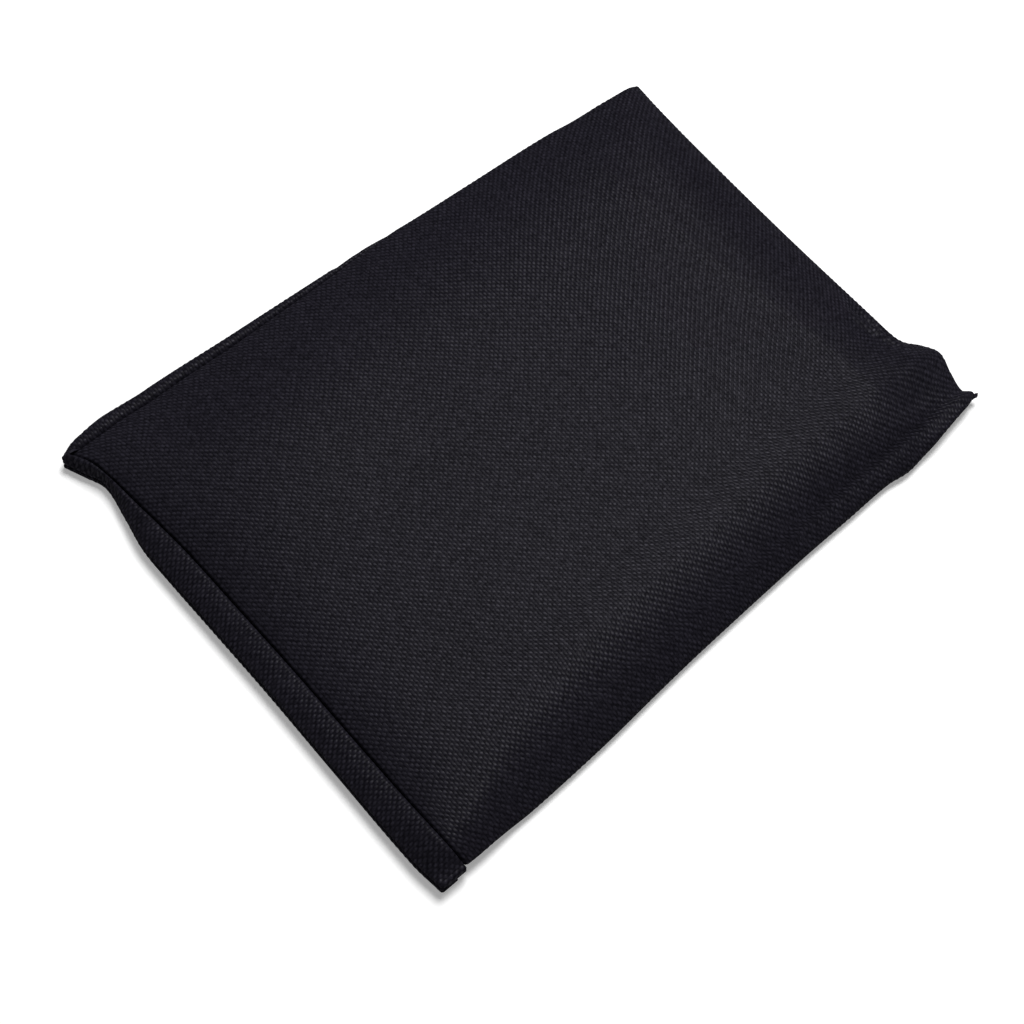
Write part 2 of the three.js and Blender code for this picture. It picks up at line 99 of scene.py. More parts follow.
# Long gentle falls of the panel: to its left side, and to its near left corner
Fall = namedtuple("Fall", "reach drop power")
LEFT_FALL = Fall(reach=110.0, drop=0.8, power=2.0)
CORNER_FALL = Fall(reach=90.0, drop=1.9, power=1.5)
LOW_CORNER = (-112.0, -96.0)

# Soft humps, where the layers underneath are loose
Hump = namedtuple("Hump", "x y radius height")
HUMPS = [
    Hump(x=-71.0, y=41.0, radius=30.0, height=1.9),
    Hump(x=58.0, y=-26.0, radius=38.0, height=1.4),
]

# The pressed crease beside the right-hand fold
CreasePoint = namedtuple("CreasePoint", "at x")
CREASE = [
    CreasePoint(at=-72.0, x=91.6),
    CreasePoint(at=-38.0, x=91.1),
    CreasePoint(at=12.0, x=85.5),
    CreasePoint(at=38.0, x=85.1),
    CreasePoint(at=70.0, x=82.6),
]
CREASE_RIDGE = 0.35
CREASE_HALF_WIDTH = 3.5

# Soft ridges and troughs of the panel, placed on its flattened cloth. They fade out where
# the cloth rolls under at the right.
Wrinkle = namedtuple("Wrinkle", "x0 y0 x1 y1 height width")
WRINKLES = [
    Wrinkle(x0=108.2, y0=-38.0, x1=109.8, y1=-52.0, height=1.2, width=1.7),
    Wrinkle(x0=109.4, y0=-47.0, x1=112.8, y1=-61.0, height=1.3, width=1.5),
    Wrinkle(x0=111.0, y0=-35.0, x1=113.2, y1=-55.0, height=-1.5, width=1.6),
    Wrinkle(x0=86.0, y0=-66.0, x1=100.0, y1=-67.6, height=0.3, width=3.0),
    Wrinkle(x0=88.0, y0=-76.0, x1=106.0, y1=-78.0, height=-0.3, width=3.0),
    Wrinkle(x0=36.0, y0=-83.5, x1=114.0, y1=-84.5, height=-0.9, width=3.2),
    Wrinkle(x0=96.0, y0=-80.0, x1=121.0, y1=-76.0, height=-1.1, width=9.0),
]
WRINKLES_FADE = (-1.0, 2.0)

# Each side of the packet, at places along it: its outer edge, and its seam. The left seam is given
# by its place, and the others by how far they lie past the rim on the flattened cloth.
Side = namedtuple("Side", "at edge seam")
LEFT = [
    Side(at=-97.0, edge=-121.8, seam=-111.6),
    Side(at=-86.0, edge=-122.9, seam=-112.2),
    Side(at=-50.0, edge=-122.9, seam=-112.5),
    Side(at=-14.0, edge=-122.7, seam=-112.7),
    Side(at=12.0, edge=-123.0, seam=-113.2),
    Side(at=36.0, edge=-123.3, seam=-113.7),
    Side(at=50.0, edge=-123.1, seam=-114.6),
    Side(at=63.0, edge=-120.9, seam=-115.7),
    Side(at=76.0, edge=-119.2, seam=-116.7),
    Side(at=84.0, edge=-122.1, seam=-118.2),
    Side(at=91.0, edge=-125.0, seam=-121.4),
]
TOP = [
    Side(at=-123.0, edge=92.9, seam=-0.8),
    Side(at=-120.0, edge=94.4, seam=-1.8),
    Side(at=-116.0, edge=95.3, seam=-2.8),
    Side(at=-108.0, edge=96.2, seam=-3.9),
    Side(at=-98.0, edge=96.1, seam=-3.4),
    Side(at=-78.0, edge=95.3, seam=-2.4),
    Side(at=-57.0, edge=93.9, seam=-1.7),
    Side(at=-36.0, edge=92.9, seam=-0.9),
    Side(at=-15.0, edge=92.0, seam=-0.2),
    Side(at=0.0, edge=91.4, seam=0.7),
    Side(at=10.0, edge=90.6, seam=2.0),
    Side(at=22.0, edge=89.5, seam=4.9),
    Side(at=47.0, edge=88.0, seam=8.0),
    Side(at=80.0, edge=86.0, seam=7.6),
    Side(at=100.0, edge=83.2, seam=6.0),
    Side(at=120.0, edge=81.2, seam=4.5),
]
RIGHT = [
    Side(at=-87.0, edge=119.8, seam=2.4),
    Side(at=-85.0, edge=120.6, seam=2.5),
    Side(at=-82.5, edge=118.4, seam=2.6),
    Side(at=-75.0, edge=120.4, seam=3.2),
    Side(at=-67.5, edge=123.1, seam=4.2),
    Side(at=-61.5, edge=120.3, seam=5.0),
    Side(at=-57.5, edge=117.2, seam=5.6),
    Side(at=-53.5, edge=116.0, seam=6.0),
    Side(at=-42.0, edge=116.0, seam=6.8),
    Side(at=0.0, edge=116.6, seam=7.4),
    Side(at=46.0, edge=118.3, seam=6.6),
    Side(at=68.0, edge=119.6, seam=5.0),
    Side(at=81.0, edge=120.8, seam=4.5),
]
BOTTOM = [
    Side(at=-111.0, edge=-97.8, seam=2.2),
    Side(at=-104.0, edge=-97.8, seam=4.0),
    Side(at=-80.0, edge=-97.3, seam=7.0),
    Side(at=-54.0, edge=-96.2, seam=8.4),
    Side(at=-30.0, edge=-94.4, seam=8.7),
    Side(at=-11.0, edge=-93.2, seam=8.8),
    Side(at=33.0, edge=-91.4, seam=8.6),
    Side(at=57.0, edge=-91.0, seam=8.0),
    Side(at=75.0, edge=-90.7, seam=7.4),
    Side(at=83.0, edge=-91.8, seam=7.0),
    Side(at=90.0, edge=-91.3, seam=6.6),
    Side(at=98.0, edge=-90.5, seam=6.0),
    Side(at=108.0, edge=-89.0, seam=4.6),
    Side(at=119.0, edge=-87.5, seam=2.4),
]

# The left wall's folds outside its seam, as moves of the cloth in section. Its strip starts a
# little above the panel and slants down to the upper fold.
Move = namedtuple("Move", "heading length bend start")
SEAM_RIM_RISE = 0.6
LEFT_UPPER_BEND = 0.95
LEFT_LOWER_BEND = 0.95
LEFT_TUCK_DEPTH = 2.4
LEFT_UPPER_SET_BACK = 0.3
STRIP_OUTER_HEIGHTS = (6.6, 5.2)
STRIP_LOWERS = (50.0, 84.0)
STRIP_LEAST_DROP = 0.3
STRIP_SLANT = 0.3
STRIP_CURVE = 2.0

# Ends of the walls, and where the corner seams lie once the walls are folded under
Ends = namedtuple("Ends", "low high")
LEFT_CORNER_SEAM = -114.5
RIGHT_CORNER_SEAM = 104.5
LEFT_WALL_ENDS = Ends(low=-98.0, high=91.6)
RIGHT_WALL_ENDS = Ends(low=-82.5, high=75.5)
TOP_WALL_ENDS = Ends(low=-123.8, high=113.2)
BOTTOM_WALL_ENDS = Ends(low=-109.6, high=112.0)
CORNER_SHEAR = (3.0, 10.0)
MITRE_BEND = 1.0
RIGHT_WALL_LINE = 113.0
RIGHT_WALL_STRAIGHTENS = (8.0, 24.0)

# The long walls rest on the short ones near the ends and sag to the surface between them
LEFT_WALL_REACH = 61.0
RIGHT_WALL_REACH = 79.0
SAG = (-34.0, -17.0)

# Seams: the two edges of cloth turn down side by side, and the end of each wall turns in too. The
# ends of the left wall's strip turn in deeper, which closes the end of its fold.
Turn = namedtuple("Turn", "half bend turn_in")
OPEN_SEAM = Turn(half=0.42, bend=0.85, turn_in=1.1)
ROLLED_SEAM = Turn(half=0.75, bend=0.9, turn_in=0.7)
WALL_END = Turn(half=0.0, bend=0.6, turn_in=0.3)
END_DROP = 2.4
END_DROP_REACH = 8.0
TURN_STEPS = 4

# The panel dips beside its open seams, on the left and along the left half of the far side
DIP_DEPTH = 0.45
DIP_REACH = 1.5
DIP_FADES_IN = 8.0
TOP_DIP_DEPTH = 1.9
TOP_DIP_REACH = 1.8
TOP_DIP_FADES = (0.5, -2.0)

# Small gathers beside the seams, as waves with their lengths and shares. On the walls they start
# between the two heights.
PUCKER_HEIGHT = 0.1
PUCKER_REACH = 4.0
PUCKER_WAVES = ((4.9, 0.5), (9.3, 1.0), (23.0, 0.6))
PUCKER_DRIFT = 41.0
PUCKER_HEIGHTS = (4.0, 5.5)

# Camera: fitted to the packet's outline in the photo
CAMERA_PLACE = (-194.6, -214.8, 561.0)
CAMERA_ELEVATION = 65.0
CAMERA_AZIMUTH = 40.8
FOCAL_PIXELS = 1900.0
FRAME_PIXELS = 1024.0
SENSOR_WIDTH = 36.0

# Stage, in metres, and the colour of its lights
FLOOR_HALF = 4.0
KEY_PLACE = (0.53, 0.265, 1.27)
WHITE = (1.0, 1.0, 1.0, 1.0)

# The mesh has a grid line at every thread, two to a thread beside rolls and folds, and four in the
# left tuck. Spans give the way down a wall and the step, and relief fades in over so many threads.
ROLL_FINE = 11.0
LONG_WALL_SPANS = ((13.0, 0.5), (WALL_HEIGHT, 1))
LEFT_WALL_SPANS = ((4.0, 0.5), (24.0, 0.25), (WALL_HEIGHT, 1))
RIGHT_WALL_SPANS = ((9.0, 0.5), (WALL_HEIGHT, 1))
RELIEF_FADES_IN = (-0.5, 1.5)
SHARP_ANGLE = math.radians(70)

# Limits and small steps of the shaping
PLACING_PASSES = 3
ON_SURFACE = 0.6
CLOTH_HALF = 0.5
NUDGE = 0.05
TINY = 1e-6
LEAST_LENGTH = 1e-9

# Weave, counted in threads. Each thread is round, and rises in crowns where it lies uppermost. The
# crowns slant one way, and at the far right of a piece the other way.
WEAVE_NUMBERS = {
    "Fibre Depth": 0.12,
    "Unevenness": 0.05,
    "Crossing Unevenness": 0.4,
    "Flecks": 0.55,
    "Wander": 0.28,
}
WANDER_SCALE = 0.45
WANDER_DETAIL = 1.0
THREAD_ROUNDNESS = 0.6
Thread = namedtuple("Thread", "crowns round")
WARP = Thread(crowns=0.36, round=0.66)
WEFT = Thread(crowns=-0.15, round=0.15)
SLANT_BY_COLUMN = (-0.03, 4.1)
SLANT_BY_ROW = (-0.08, 3.6)
LEAST_SLANT = -0.6
MOST_SLANT = 0.4
CROWN_GAIN = 0.82
CROWN_LEAST = 0.14
WARP_FIBRES = (7.0, 0.9, 1.0)
WEFT_FIBRES = (0.9, 7.0, 1.0)
FIBRE_DETAIL = 2.0
FLECKS_TO_A_THREAD = 2.0
# Colour kept in the gaps between the crowns, where painted shade darkens the cloth
PAINTED_GAP_LIGHT = 0.3

# Mottle of all finishes, and the plain ones of the sewing thread and the floor
MOTTLE_NUMBERS = {"Scale": 40.0, "Depth": 0.2}
MOTTLE_DETAIL = 3.0
HALF = 0.5
Finish = namedtuple("Finish", "roughness unevenness")
SEWING_FINISH = Finish(roughness=0.45, unevenness=0.6)
FLOOR_FINISH = Finish(roughness=0.9, unevenness=0.02)


# Settings that a user would change
class ClothSettings(bpy.types.PropertyGroup):
    """Size of the cloth's threads and thickness"""

    thread_pitch: FloatProperty(
        name="Thread Pitch", description="Distance between neighbouring threads, in millimetres",
        default=1.065, min=0.8, max=3.0)
    thickness: FloatProperty(
        name="Thickness", description="Thickness of the cloth between its threads' crowns, in millimetres",
        default=0.8, min=0.4, max=1.0)
    relief: FloatProperty(
        name="Weave Relief", description="How far a thread's crown stands out, in millimetres",
        default=0.1, min=0.0, max=0.1)


class SewingSettings(bpy.types.PropertyGroup):
    """Sizes of the hems' stitches, in Blender's metres"""

    pitch: FloatProperty(
        name="Stitch Pitch", description="Distance between neighbouring stitches",
        default=0.003, min=0.001, max=0.01, subtype="DISTANCE", unit="LENGTH")
    length: FloatProperty(
        name="Stitch Length", description="Length of the thread that shows in one stitch",
        default=0.0024, min=0.0005, max=0.01, subtype="DISTANCE", unit="LENGTH")
    width: FloatProperty(
        name="Stitch Width", description="Width of the sewing thread",
        default=0.0005, min=0.0001, max=0.002, subtype="DISTANCE", unit="LENGTH")
    height: FloatProperty(
        name="Stitch Height", description="Thickness of the sewing thread, pulled flat",
        default=0.0003, min=0.0001, max=0.002, subtype="DISTANCE", unit="LENGTH")


class LookSettings(bpy.types.PropertyGroup):
    """Colours and finish of the cloth"""

    cloth_colour: FloatVectorProperty(
        name="Cloth Colour", description="Colour of the black threads",
        subtype="COLOR", size=3, default=(0.0124, 0.0115, 0.0166), min=0.0, max=1.0)
    thread_colour: FloatVectorProperty(
        name="Sewing Thread Colour", description="Colour of the sewing thread",
        subtype="COLOR", size=3, default=(0.018, 0.017, 0.021), min=0.0, max=1.0)
    roughness: FloatProperty(
        name="Roughness", description="Roughness of the threads", default=0.4, min=0.0, max=1.0)
    bump_depth: FloatProperty(
        name="Bump Depth", description="Depth of the threads' fine bump, in millimetres",
        default=0.14, min=0.0, max=0.5)
    gloss: FloatProperty(
        name="Gloss", description="Strength of the threads' soft highlights",
        default=0.165, min=0.0, max=1.0)
    edge_fade: FloatProperty(
        name="Edge Fade", description="How soon the highlights fade where the cloth turns from the view",
        default=2.0, min=0.0, max=5.0)
    edge_least: FloatProperty(
        name="Edge Least", description="Least share of the highlights that is left at a grazing view",
        default=0.45, min=0.0, max=1.0)


class StageSettings(bpy.types.PropertyGroup):
    """The pale floor and the soft light"""

    floor_colour: FloatVectorProperty(
        name="Floor Colour", description="Colour of the plain floor",
        subtype="COLOR", size=3, default=(0.86, 0.86, 0.86), min=0.0, max=1.0)
    floor_glow: FloatProperty(
        name="Floor Glow", description="Strength of the pale floor's own light, which softens shadows",
        default=0.3, min=0.0, max=2.0)
    surround: FloatProperty(
        name="Surround", description="Strength of the even light from all round",
        default=0.09, min=0.0, max=5.0)
    key_power: FloatProperty(
        name="Key Light", description="Power of the large soft light overhead",
        default=22.0, min=0.0, max=500.0, subtype="POWER")
    key_size: FloatProperty(
        name="Key Light Size", description="Side of the large soft light overhead",
        default=0.6, min=0.1, max=4.0, subtype="DISTANCE", unit="LENGTH")


class DustCoverSettings(bpy.types.PropertyGroup):
    """All settings of the dust cover"""

    cloth: PointerProperty(type=ClothSettings)
    sewing: PointerProperty(type=SewingSettings)
    look: PointerProperty(type=LookSettings)
    stage: PointerProperty(type=StageSettings)


# Shapes of the folded cloth
def curve_through(rows, column):
    """A smooth curve through one column of a table."""
    at = np.array([row.at for row in rows])
    value = np.array([getattr(row, column) for row in rows])
    order = np.arange(len(rows))
    before = np.maximum(order - 1, 0)
    after = np.minimum(order + 1, len(rows) - 1)
    slope = (value[after] - value[before]) / (at[after] - at[before])

    def curve(place):
        i = np.clip(np.searchsorted(at, place) - 1, 0, len(at) - 2)
        span = at[i + 1] - at[i]
        t = np.clip((place - at[i]) / span, 0, 1)
        share = t * t * (3 - 2 * t)
        bend = span * t * (1 - t) * (slope[i] * (1 - t) - slope[i + 1] * t)
        return value[i] * (1 - share) + value[i + 1] * share + bend

    return curve


def smooth(start, end, value):
    """0 before start, 1 past end, and a smooth step between."""
    t = np.clip((value - start) / (end - start), 0, 1)
    return t * t * (3 - 2 * t)


left_seam = curve_through(LEFT, "seam")
left_edge = curve_through(LEFT, "edge")
top_edge = curve_through(TOP, "edge")
bottom_edge = curve_through(BOTTOM, "edge")
right_edge = curve_through(RIGHT, "edge")
crease_line = curve_through(CREASE, "x")
top_seam_past = curve_through(TOP, "seam")
bottom_seam_past = curve_through(BOTTOM, "seam")
right_seam_past = curve_through(RIGHT, "seam")


def raised_share(x, y):
    """Share of the way that the long walls' lower layer is raised over the short walls."""
    ends = np.minimum(top_edge(x) - y, y - bottom_edge(x))
    over_left = np.minimum(ends, LEFT_WALL_REACH) - (x - LEFT[0].edge)
    over_right = np.minimum(ends, RIGHT_WALL_REACH) - (RIGHT[-1].edge - x)
    return np.maximum(smooth(*SAG, over_left), smooth(*SAG, over_right))


def long_wall_height(x, y):
    """Height of the long walls' lower layer."""
    return FLOOR_LAYER + (LONG_WALL_LAYER - FLOOR_LAYER) * raised_share(x, y)


def roll_inset(slope, raised):
    """How far inside the outer edge the panel's slope ends and its roll begins."""
    angle = math.atan((DOME_HEIGHT - slope.rim_height) * slope.power / slope.width)
    layer = FLOOR_LAYER + (LONG_WALL_LAYER - FLOOR_LAYER) * raised
    radius = (slope.rim_height + slope.corner_lift * raised - layer) / (1 + math.cos(angle))
    return FLOOR_LAYER + radius * (1 - math.sin(angle))


def top_rim(x):
    """Where the slope to the top side ends."""
    return top_edge(x) - roll_inset(SLOPE_TOP, raised_share(x, top_edge(x)))


def bottom_rim(x):
    """Where the slope to the bottom side ends."""
    return bottom_edge(x) + roll_inset(SLOPE_BOTTOM, raised_share(x, bottom_edge(x)))


def right_rim(y):
    """Where the slope to the right side ends."""
    return right_edge(y) - roll_inset(SLOPE_RIGHT, 0.0)


def slope_drop(slope, distance, raised):
    """How far the panel has dropped at a distance inside one of its rims."""
    left = np.clip(1 - distance / slope.width, 0, 1)
    return (DOME_HEIGHT - slope.rim_height - slope.corner_lift * raised) * left ** slope.power


def fall_drop(fall, distance):
    """How far a long gentle fall has dropped at a distance from its lowest place."""
    return fall.drop * np.clip(1 - distance / fall.reach, 0, 1) ** fall.power


def left_drop(x, y):
    """How far the panel has dropped towards its left seam."""
    distance = x - left_seam(y)
    gentle = fall_drop(LEFT_FALL, distance)
    steep = slope_drop(SLOPE_LEFT, distance, 0.0)
    share = 1 - LEFT_FALL.drop / (DOME_HEIGHT - SLOPE_LEFT.rim_height)
    return gentle + steep * share * (1 - (1 - LEFT_LEAST) * smooth(*LEFT_FADES, y))


def panel_height(x, y):
    """Height of the panel's middle plane, inside its rims."""
    widening = LOBE_WIDENING * smooth(*LOBE_STARTS, x)
    narrowing = CORNER_NARROWING * smooth(*CORNER_STARTS, x)
    near_width = SLOPE_BOTTOM.width + widening - narrowing
    near_slope = SLOPE_BOTTOM._replace(width=near_width)
    drops = (
        left_drop(x, y),
        slope_drop(SLOPE_TOP, top_rim(x) - y, raised_share(x, top_edge(x))),
        slope_drop(SLOPE_RIGHT, right_rim(y) - x, 0.0),
        slope_drop(near_slope, y - bottom_rim(x), raised_share(x, bottom_edge(x))),
        fall_drop(CORNER_FALL, np.hypot(x - LOW_CORNER[0], y - LOW_CORNER[1])),
    )
    deepest = np.maximum.reduce(drops)
    blend = SOFT_BLEND + (SHARP_BLEND - SOFT_BLEND) * smooth(*BLEND_DROPS, deepest)
    drop = sum(each ** blend for each in drops) ** (1 / blend)
    inside = np.clip(1 - drop / (DOME_HEIGHT - SLOPE_RIGHT.rim_height), 0, 1)
    height = DOME_HEIGHT - drop
    for hump in HUMPS:
        away = np.hypot(x - hump.x, y - hump.y) / hump.radius
        height = height + inside * hump.height * np.exp(-away * away)
    from_crease = np.abs(x - crease_line(y)) / CREASE_HALF_WIDTH
    return height + inside * CREASE_RIDGE * np.exp(-from_crease)


def groove_dip(x, y):
    """How far the panel dips beside its open seams, on the left and along the far side's left half."""
    from_rims = np.minimum(top_rim(x) - y, y - bottom_rim(x))
    beside_left = DIP_DEPTH * np.exp(-np.abs(x - left_seam(y)) / DIP_REACH)
    past = top_seam_past(x)
    beside_top = TOP_DIP_DEPTH * np.exp(-np.abs(y - top_rim(x) - past) / TOP_DIP_REACH)
    return beside_left * smooth(0, DIP_FADES_IN, from_rims) + beside_top * smooth(*TOP_DIP_FADES, past)


def dipped_height(x, y):
    """Height of the panel's middle plane with its dips beside the open seams."""
    return panel_height(x, y) - groove_dip(x, y)


def roll_section(rim_height, slope, layer_height, length):
    """One rolled edge in section: the way out from the rim and the drop below it."""
    radius = (rim_height - layer_height(0.0)) / (1 + np.cos(slope))
    turn = slope + length / radius
    past = length - radius * (np.pi - slope)
    rolled_out = radius * (np.sin(turn) - np.sin(slope))
    rolled_drop = radius * (np.cos(slope) - np.cos(turn))
    flat_out = -radius * np.sin(slope) - past
    flat_drop = rim_height - layer_height(past)
    turning = turn < np.pi
    return np.where(turning, rolled_out, flat_out), np.where(turning, rolled_drop, flat_drop)


def cloth_point(x, y):
    """A point of the cloth at flattened place (x, y): past a rim it follows the roll."""
    inside_y = np.clip(y, bottom_rim(x), top_rim(x))
    base_x = np.minimum(x, right_rim(inside_y))
    base_y = np.clip(y, bottom_rim(base_x), top_rim(base_x))
    side = np.sign(y - base_y)
    past_x = x - base_x
    past_y = np.abs(y - base_y)
    past = np.maximum((past_x ** CORNER_BLEND + past_y ** CORNER_BLEND) ** (1 / CORNER_BLEND), TINY)
    to_x = (past_x / past) ** CORNER_BLEND
    height = dipped_height(base_x, base_y)
    slope_x = np.arctan((dipped_height(base_x - NUDGE, base_y) - height) / NUDGE)
    slope_y = np.arctan((dipped_height(base_x, base_y - side * NUDGE) - height) / NUDGE)
    slope = slope_x * to_x + slope_y * (1 - to_x)

    def layer_height(inside):
        below = long_wall_height(base_x, base_y - side * inside)
        return FLOOR_LAYER * to_x + below * (1 - to_x)

    out, drop = roll_section(height, slope, layer_height, past)
    return np.stack([
        base_x + out * past_x / past,
        base_y + out * side * past_y / past,
        height - drop,
    ], axis=-1)


# Seam lines around the panel, measured on the flattened cloth
def right_seam(y):
    """The seam to the right wall."""
    return right_rim(y) + right_seam_past(y)


def top_seam(x):
    """The seam to the back wall."""
    return top_rim(x) + top_seam_past(x)


def bottom_seam(x):
    """The seam to the front wall."""
    return bottom_rim(x) - bottom_seam_past(x)


# Lines of a cloth's grid. A turned-in line has its side, 1 for the low one and -1 for the high
# one, and its distance from that side's seam; any other line has side 0 and its share of the way
# across. Each has its depth turned in, its thread count, and that from the nearest turned edge.
Line = namedtuple("Line", "side away share depth thread from_turn")


def turned_lines(turn, pitch):
    """The lines of a turned-in edge, from its end to just before its shoulder."""
    arc = math.pi / 2 * turn.bend
    end = -(arc + turn.turn_in) / pitch
    lines = [Line(1, turn.half, None, turn.bend + turn.turn_in, end, end)]
    for i in range(TURN_STEPS):
        share = 1 - i / TURN_STEPS
        angle = math.pi / 2 * share
        away = turn.half + turn.bend * (1 - math.sin(angle))
        thread = -arc * share / pitch
        lines.append(Line(1, away, None, turn.bend * (1 - math.cos(angle)), thread, thread))
    return lines


def shoulder(turn):
    """Distance of a turned edge's shoulder from the seam's middle."""
    return turn.half + turn.bend


def far_turn(lines, count):
    """The same lines for the far side of a piece that is count threads across."""
    return [line._replace(side=-1, thread=count - line.thread) for line in reversed(lines)]


def across(length, low_turn, high_turn, pitch, low_fine, high_fine):
    """Grid lines across a piece between two turned edges, with half threads beside them."""
    count = round((length - shoulder(low_turn) - shoulder(high_turn)) / pitch)
    low = int(low_fine / pitch)
    high = count - int(high_fine / pitch)
    threads = np.concatenate([
        np.arange(0, low, HALF),
        np.arange(low, high),
        np.arange(high, count + TINY, HALF),
    ])
    between = [
        Line(0, None, thread / count, 0.0, thread, min(thread, count - thread)) for thread in threads]
    return turned_lines(low_turn, pitch) + between + far_turn(turned_lines(high_turn, pitch), count)


def across_place(line, low, high, low_turn, high_turn, on_seam=False):
    """Where a line crosses between two seams; on_seam puts the turned-in lines on the seam itself."""
    if line.side:
        seam = low if line.side > 0 else high
        return seam if on_seam else seam + line.side * line.away
    start = low + shoulder(low_turn)
    return start + (high - shoulder(high_turn) - start) * line.share


def inward_normal(surface, u, v, hand):
    """Inward normal of a surface given as a function of two measures."""
    along = surface(u + NUDGE, v) - surface(u - NUDGE, v)
    away = surface(u, v + NUDGE) - surface(u, v - NUDGE)
    normal = np.cross(along, away)
    return -hand * normal / np.linalg.norm(normal, axis=-1, keepdims=True)


def column_of(lines, field):
    """One field of a list of lines, as an array."""
    return np.array([getattr(line, field) for line in lines])


def thread_counts(columns, rows):
    """Thread counts across and down, and from the nearest turned edge, at every grid point."""
    u, v = np.meshgrid(column_of(columns, "thread"), column_of(rows, "thread"), indexing="ij")
    turn_u, turn_v = np.meshgrid(
        column_of(columns, "from_turn"), column_of(rows, "from_turn"), indexing="ij")
    return np.stack([u, v, np.minimum(turn_u, turn_v)], axis=-1)


def depths(columns, rows):
    """How far every grid point is turned in."""
    return np.maximum(column_of(columns, "depth")[:, None], column_of(rows, "depth")[None, :])


def pucker(along, away):
    """Small gathers of the cloth beside a seam."""
    waves = sum(
        share * np.sin(2 * np.pi * along / length + length + np.sin(2 * np.pi * along / PUCKER_DRIFT))
        for length, share in PUCKER_WAVES)
    return PUCKER_HEIGHT * waves * np.exp(-np.abs(away) / PUCKER_REACH)


def wrinkles(x, y):
    """The listed soft ridges and troughs, at flattened places of the panel."""
    height = np.zeros_like(x)
    for fold in WRINKLES:
        run = np.array([fold.x1 - fold.x0, fold.y1 - fold.y0])
        share = np.clip(((x - fold.x0) * run[0] + (y - fold.y0) * run[1]) / (run @ run), 0, 1)
        away = np.hypot(x - fold.x0 - share * run[0], y - fold.y0 - share * run[1])
        height += fold.height * np.exp(-(away / fold.width) ** 2) * np.sqrt(np.sin(np.pi * share))
    return height


def grid_normals(grid):
    """Outward normals of a grid of points, whose lines may be unevenly spaced."""
    def direction(axis):
        step = np.diff(grid, axis=axis)
        step = step / np.maximum(np.linalg.norm(step, axis=-1, keepdims=True), LEAST_LENGTH)
        total = np.zeros_like(grid)
        ahead = [slice(None)] * 3
        behind = [slice(None)] * 3
        ahead[axis] = slice(1, None)
        behind[axis] = slice(None, -1)
        total[tuple(ahead)] += step
        total[tuple(behind)] += step
        return total

    normal = np.cross(direction(0), direction(1))
    return normal / np.maximum(np.linalg.norm(normal, axis=-1, keepdims=True), LEAST_LENGTH)


def sheet_faces(relief):
    """Triangles of a closed sheet of two grids, each cell split along its lower diagonal."""
    columns, rows = relief.shape
    number = np.arange(columns * rows).reshape(columns, rows)
    a, b = number[:-1, :-1].ravel(), number[1:, :-1].ravel()
    c, d = number[1:, 1:].ravel(), number[:-1, 1:].ravel()
    level = relief.ravel()
    low_ac = (level[a] + level[c] <= level[b] + level[d])[:, None]
    first = np.where(low_ac, np.stack([a, b, c], 1), np.stack([a, b, d], 1))
    second = np.where(low_ac, np.stack([a, c, d], 1), np.stack([b, c, d], 1))
    outer = np.concatenate([first, second])
    below = columns * rows
    inner = outer[:, ::-1] + below
    rim = np.concatenate([number[:, 0], number[-1, 1:], number[-2::-1, -1], number[0, -2:0:-1]])
    ahead = np.roll(rim, -1)
    side = np.concatenate([
        np.stack([rim, rim + below, ahead + below], 1),
        np.stack([rim, ahead + below, ahead], 1),
    ])
    return np.concatenate([outer, inner, side])


def sheet_mesh(name, grid, threads, cloth, hem=0.0, bumps=0.0):
    """A closed sheet of cloth around a grid of points of its middle plane."""
    normal = grid_normals(grid)
    weave = np.cos(np.pi * threads[..., 0]) * np.cos(np.pi * threads[..., 1])
    relief = cloth.relief * weave * smooth(*RELIEF_FADES_IN, threads[..., 2])
    middle = grid + normal * (bumps + relief)[..., None]
    outer = middle + normal * cloth.thickness / 2
    inner = middle - normal * (cloth.thickness / 2 + hem + np.zeros_like(relief))[..., None]
    points = np.concatenate([outer.reshape(-1, 3), inner.reshape(-1, 3)]) * MM
    uv = np.concatenate([threads[..., :2].reshape(-1, 2)] * 2)
    mesh = bpy.data.meshes.new(name)
    mesh.from_pydata(points.tolist(), [], sheet_faces(relief).tolist())
    layer = mesh.uv_layers.new(name="Threads")
    corner = np.empty(len(mesh.loops), dtype=np.int32)
    mesh.loops.foreach_get("vertex_index", corner)
    layer.data.foreach_set("uv", uv[corner].ravel())
    mesh.shade_smooth()
    mesh.set_sharp_from_angle(angle=SHARP_ANGLE)
    mesh.update()
    return mesh


def add_piece(name, mesh, material):
    """Links a finished mesh as a piece of the cover."""
    mesh.materials.append(material)
    piece = bpy.data.objects.new(name, mesh)
    bpy.context.scene.collection.objects.link(piece)
    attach(piece, BODY)
    return piece


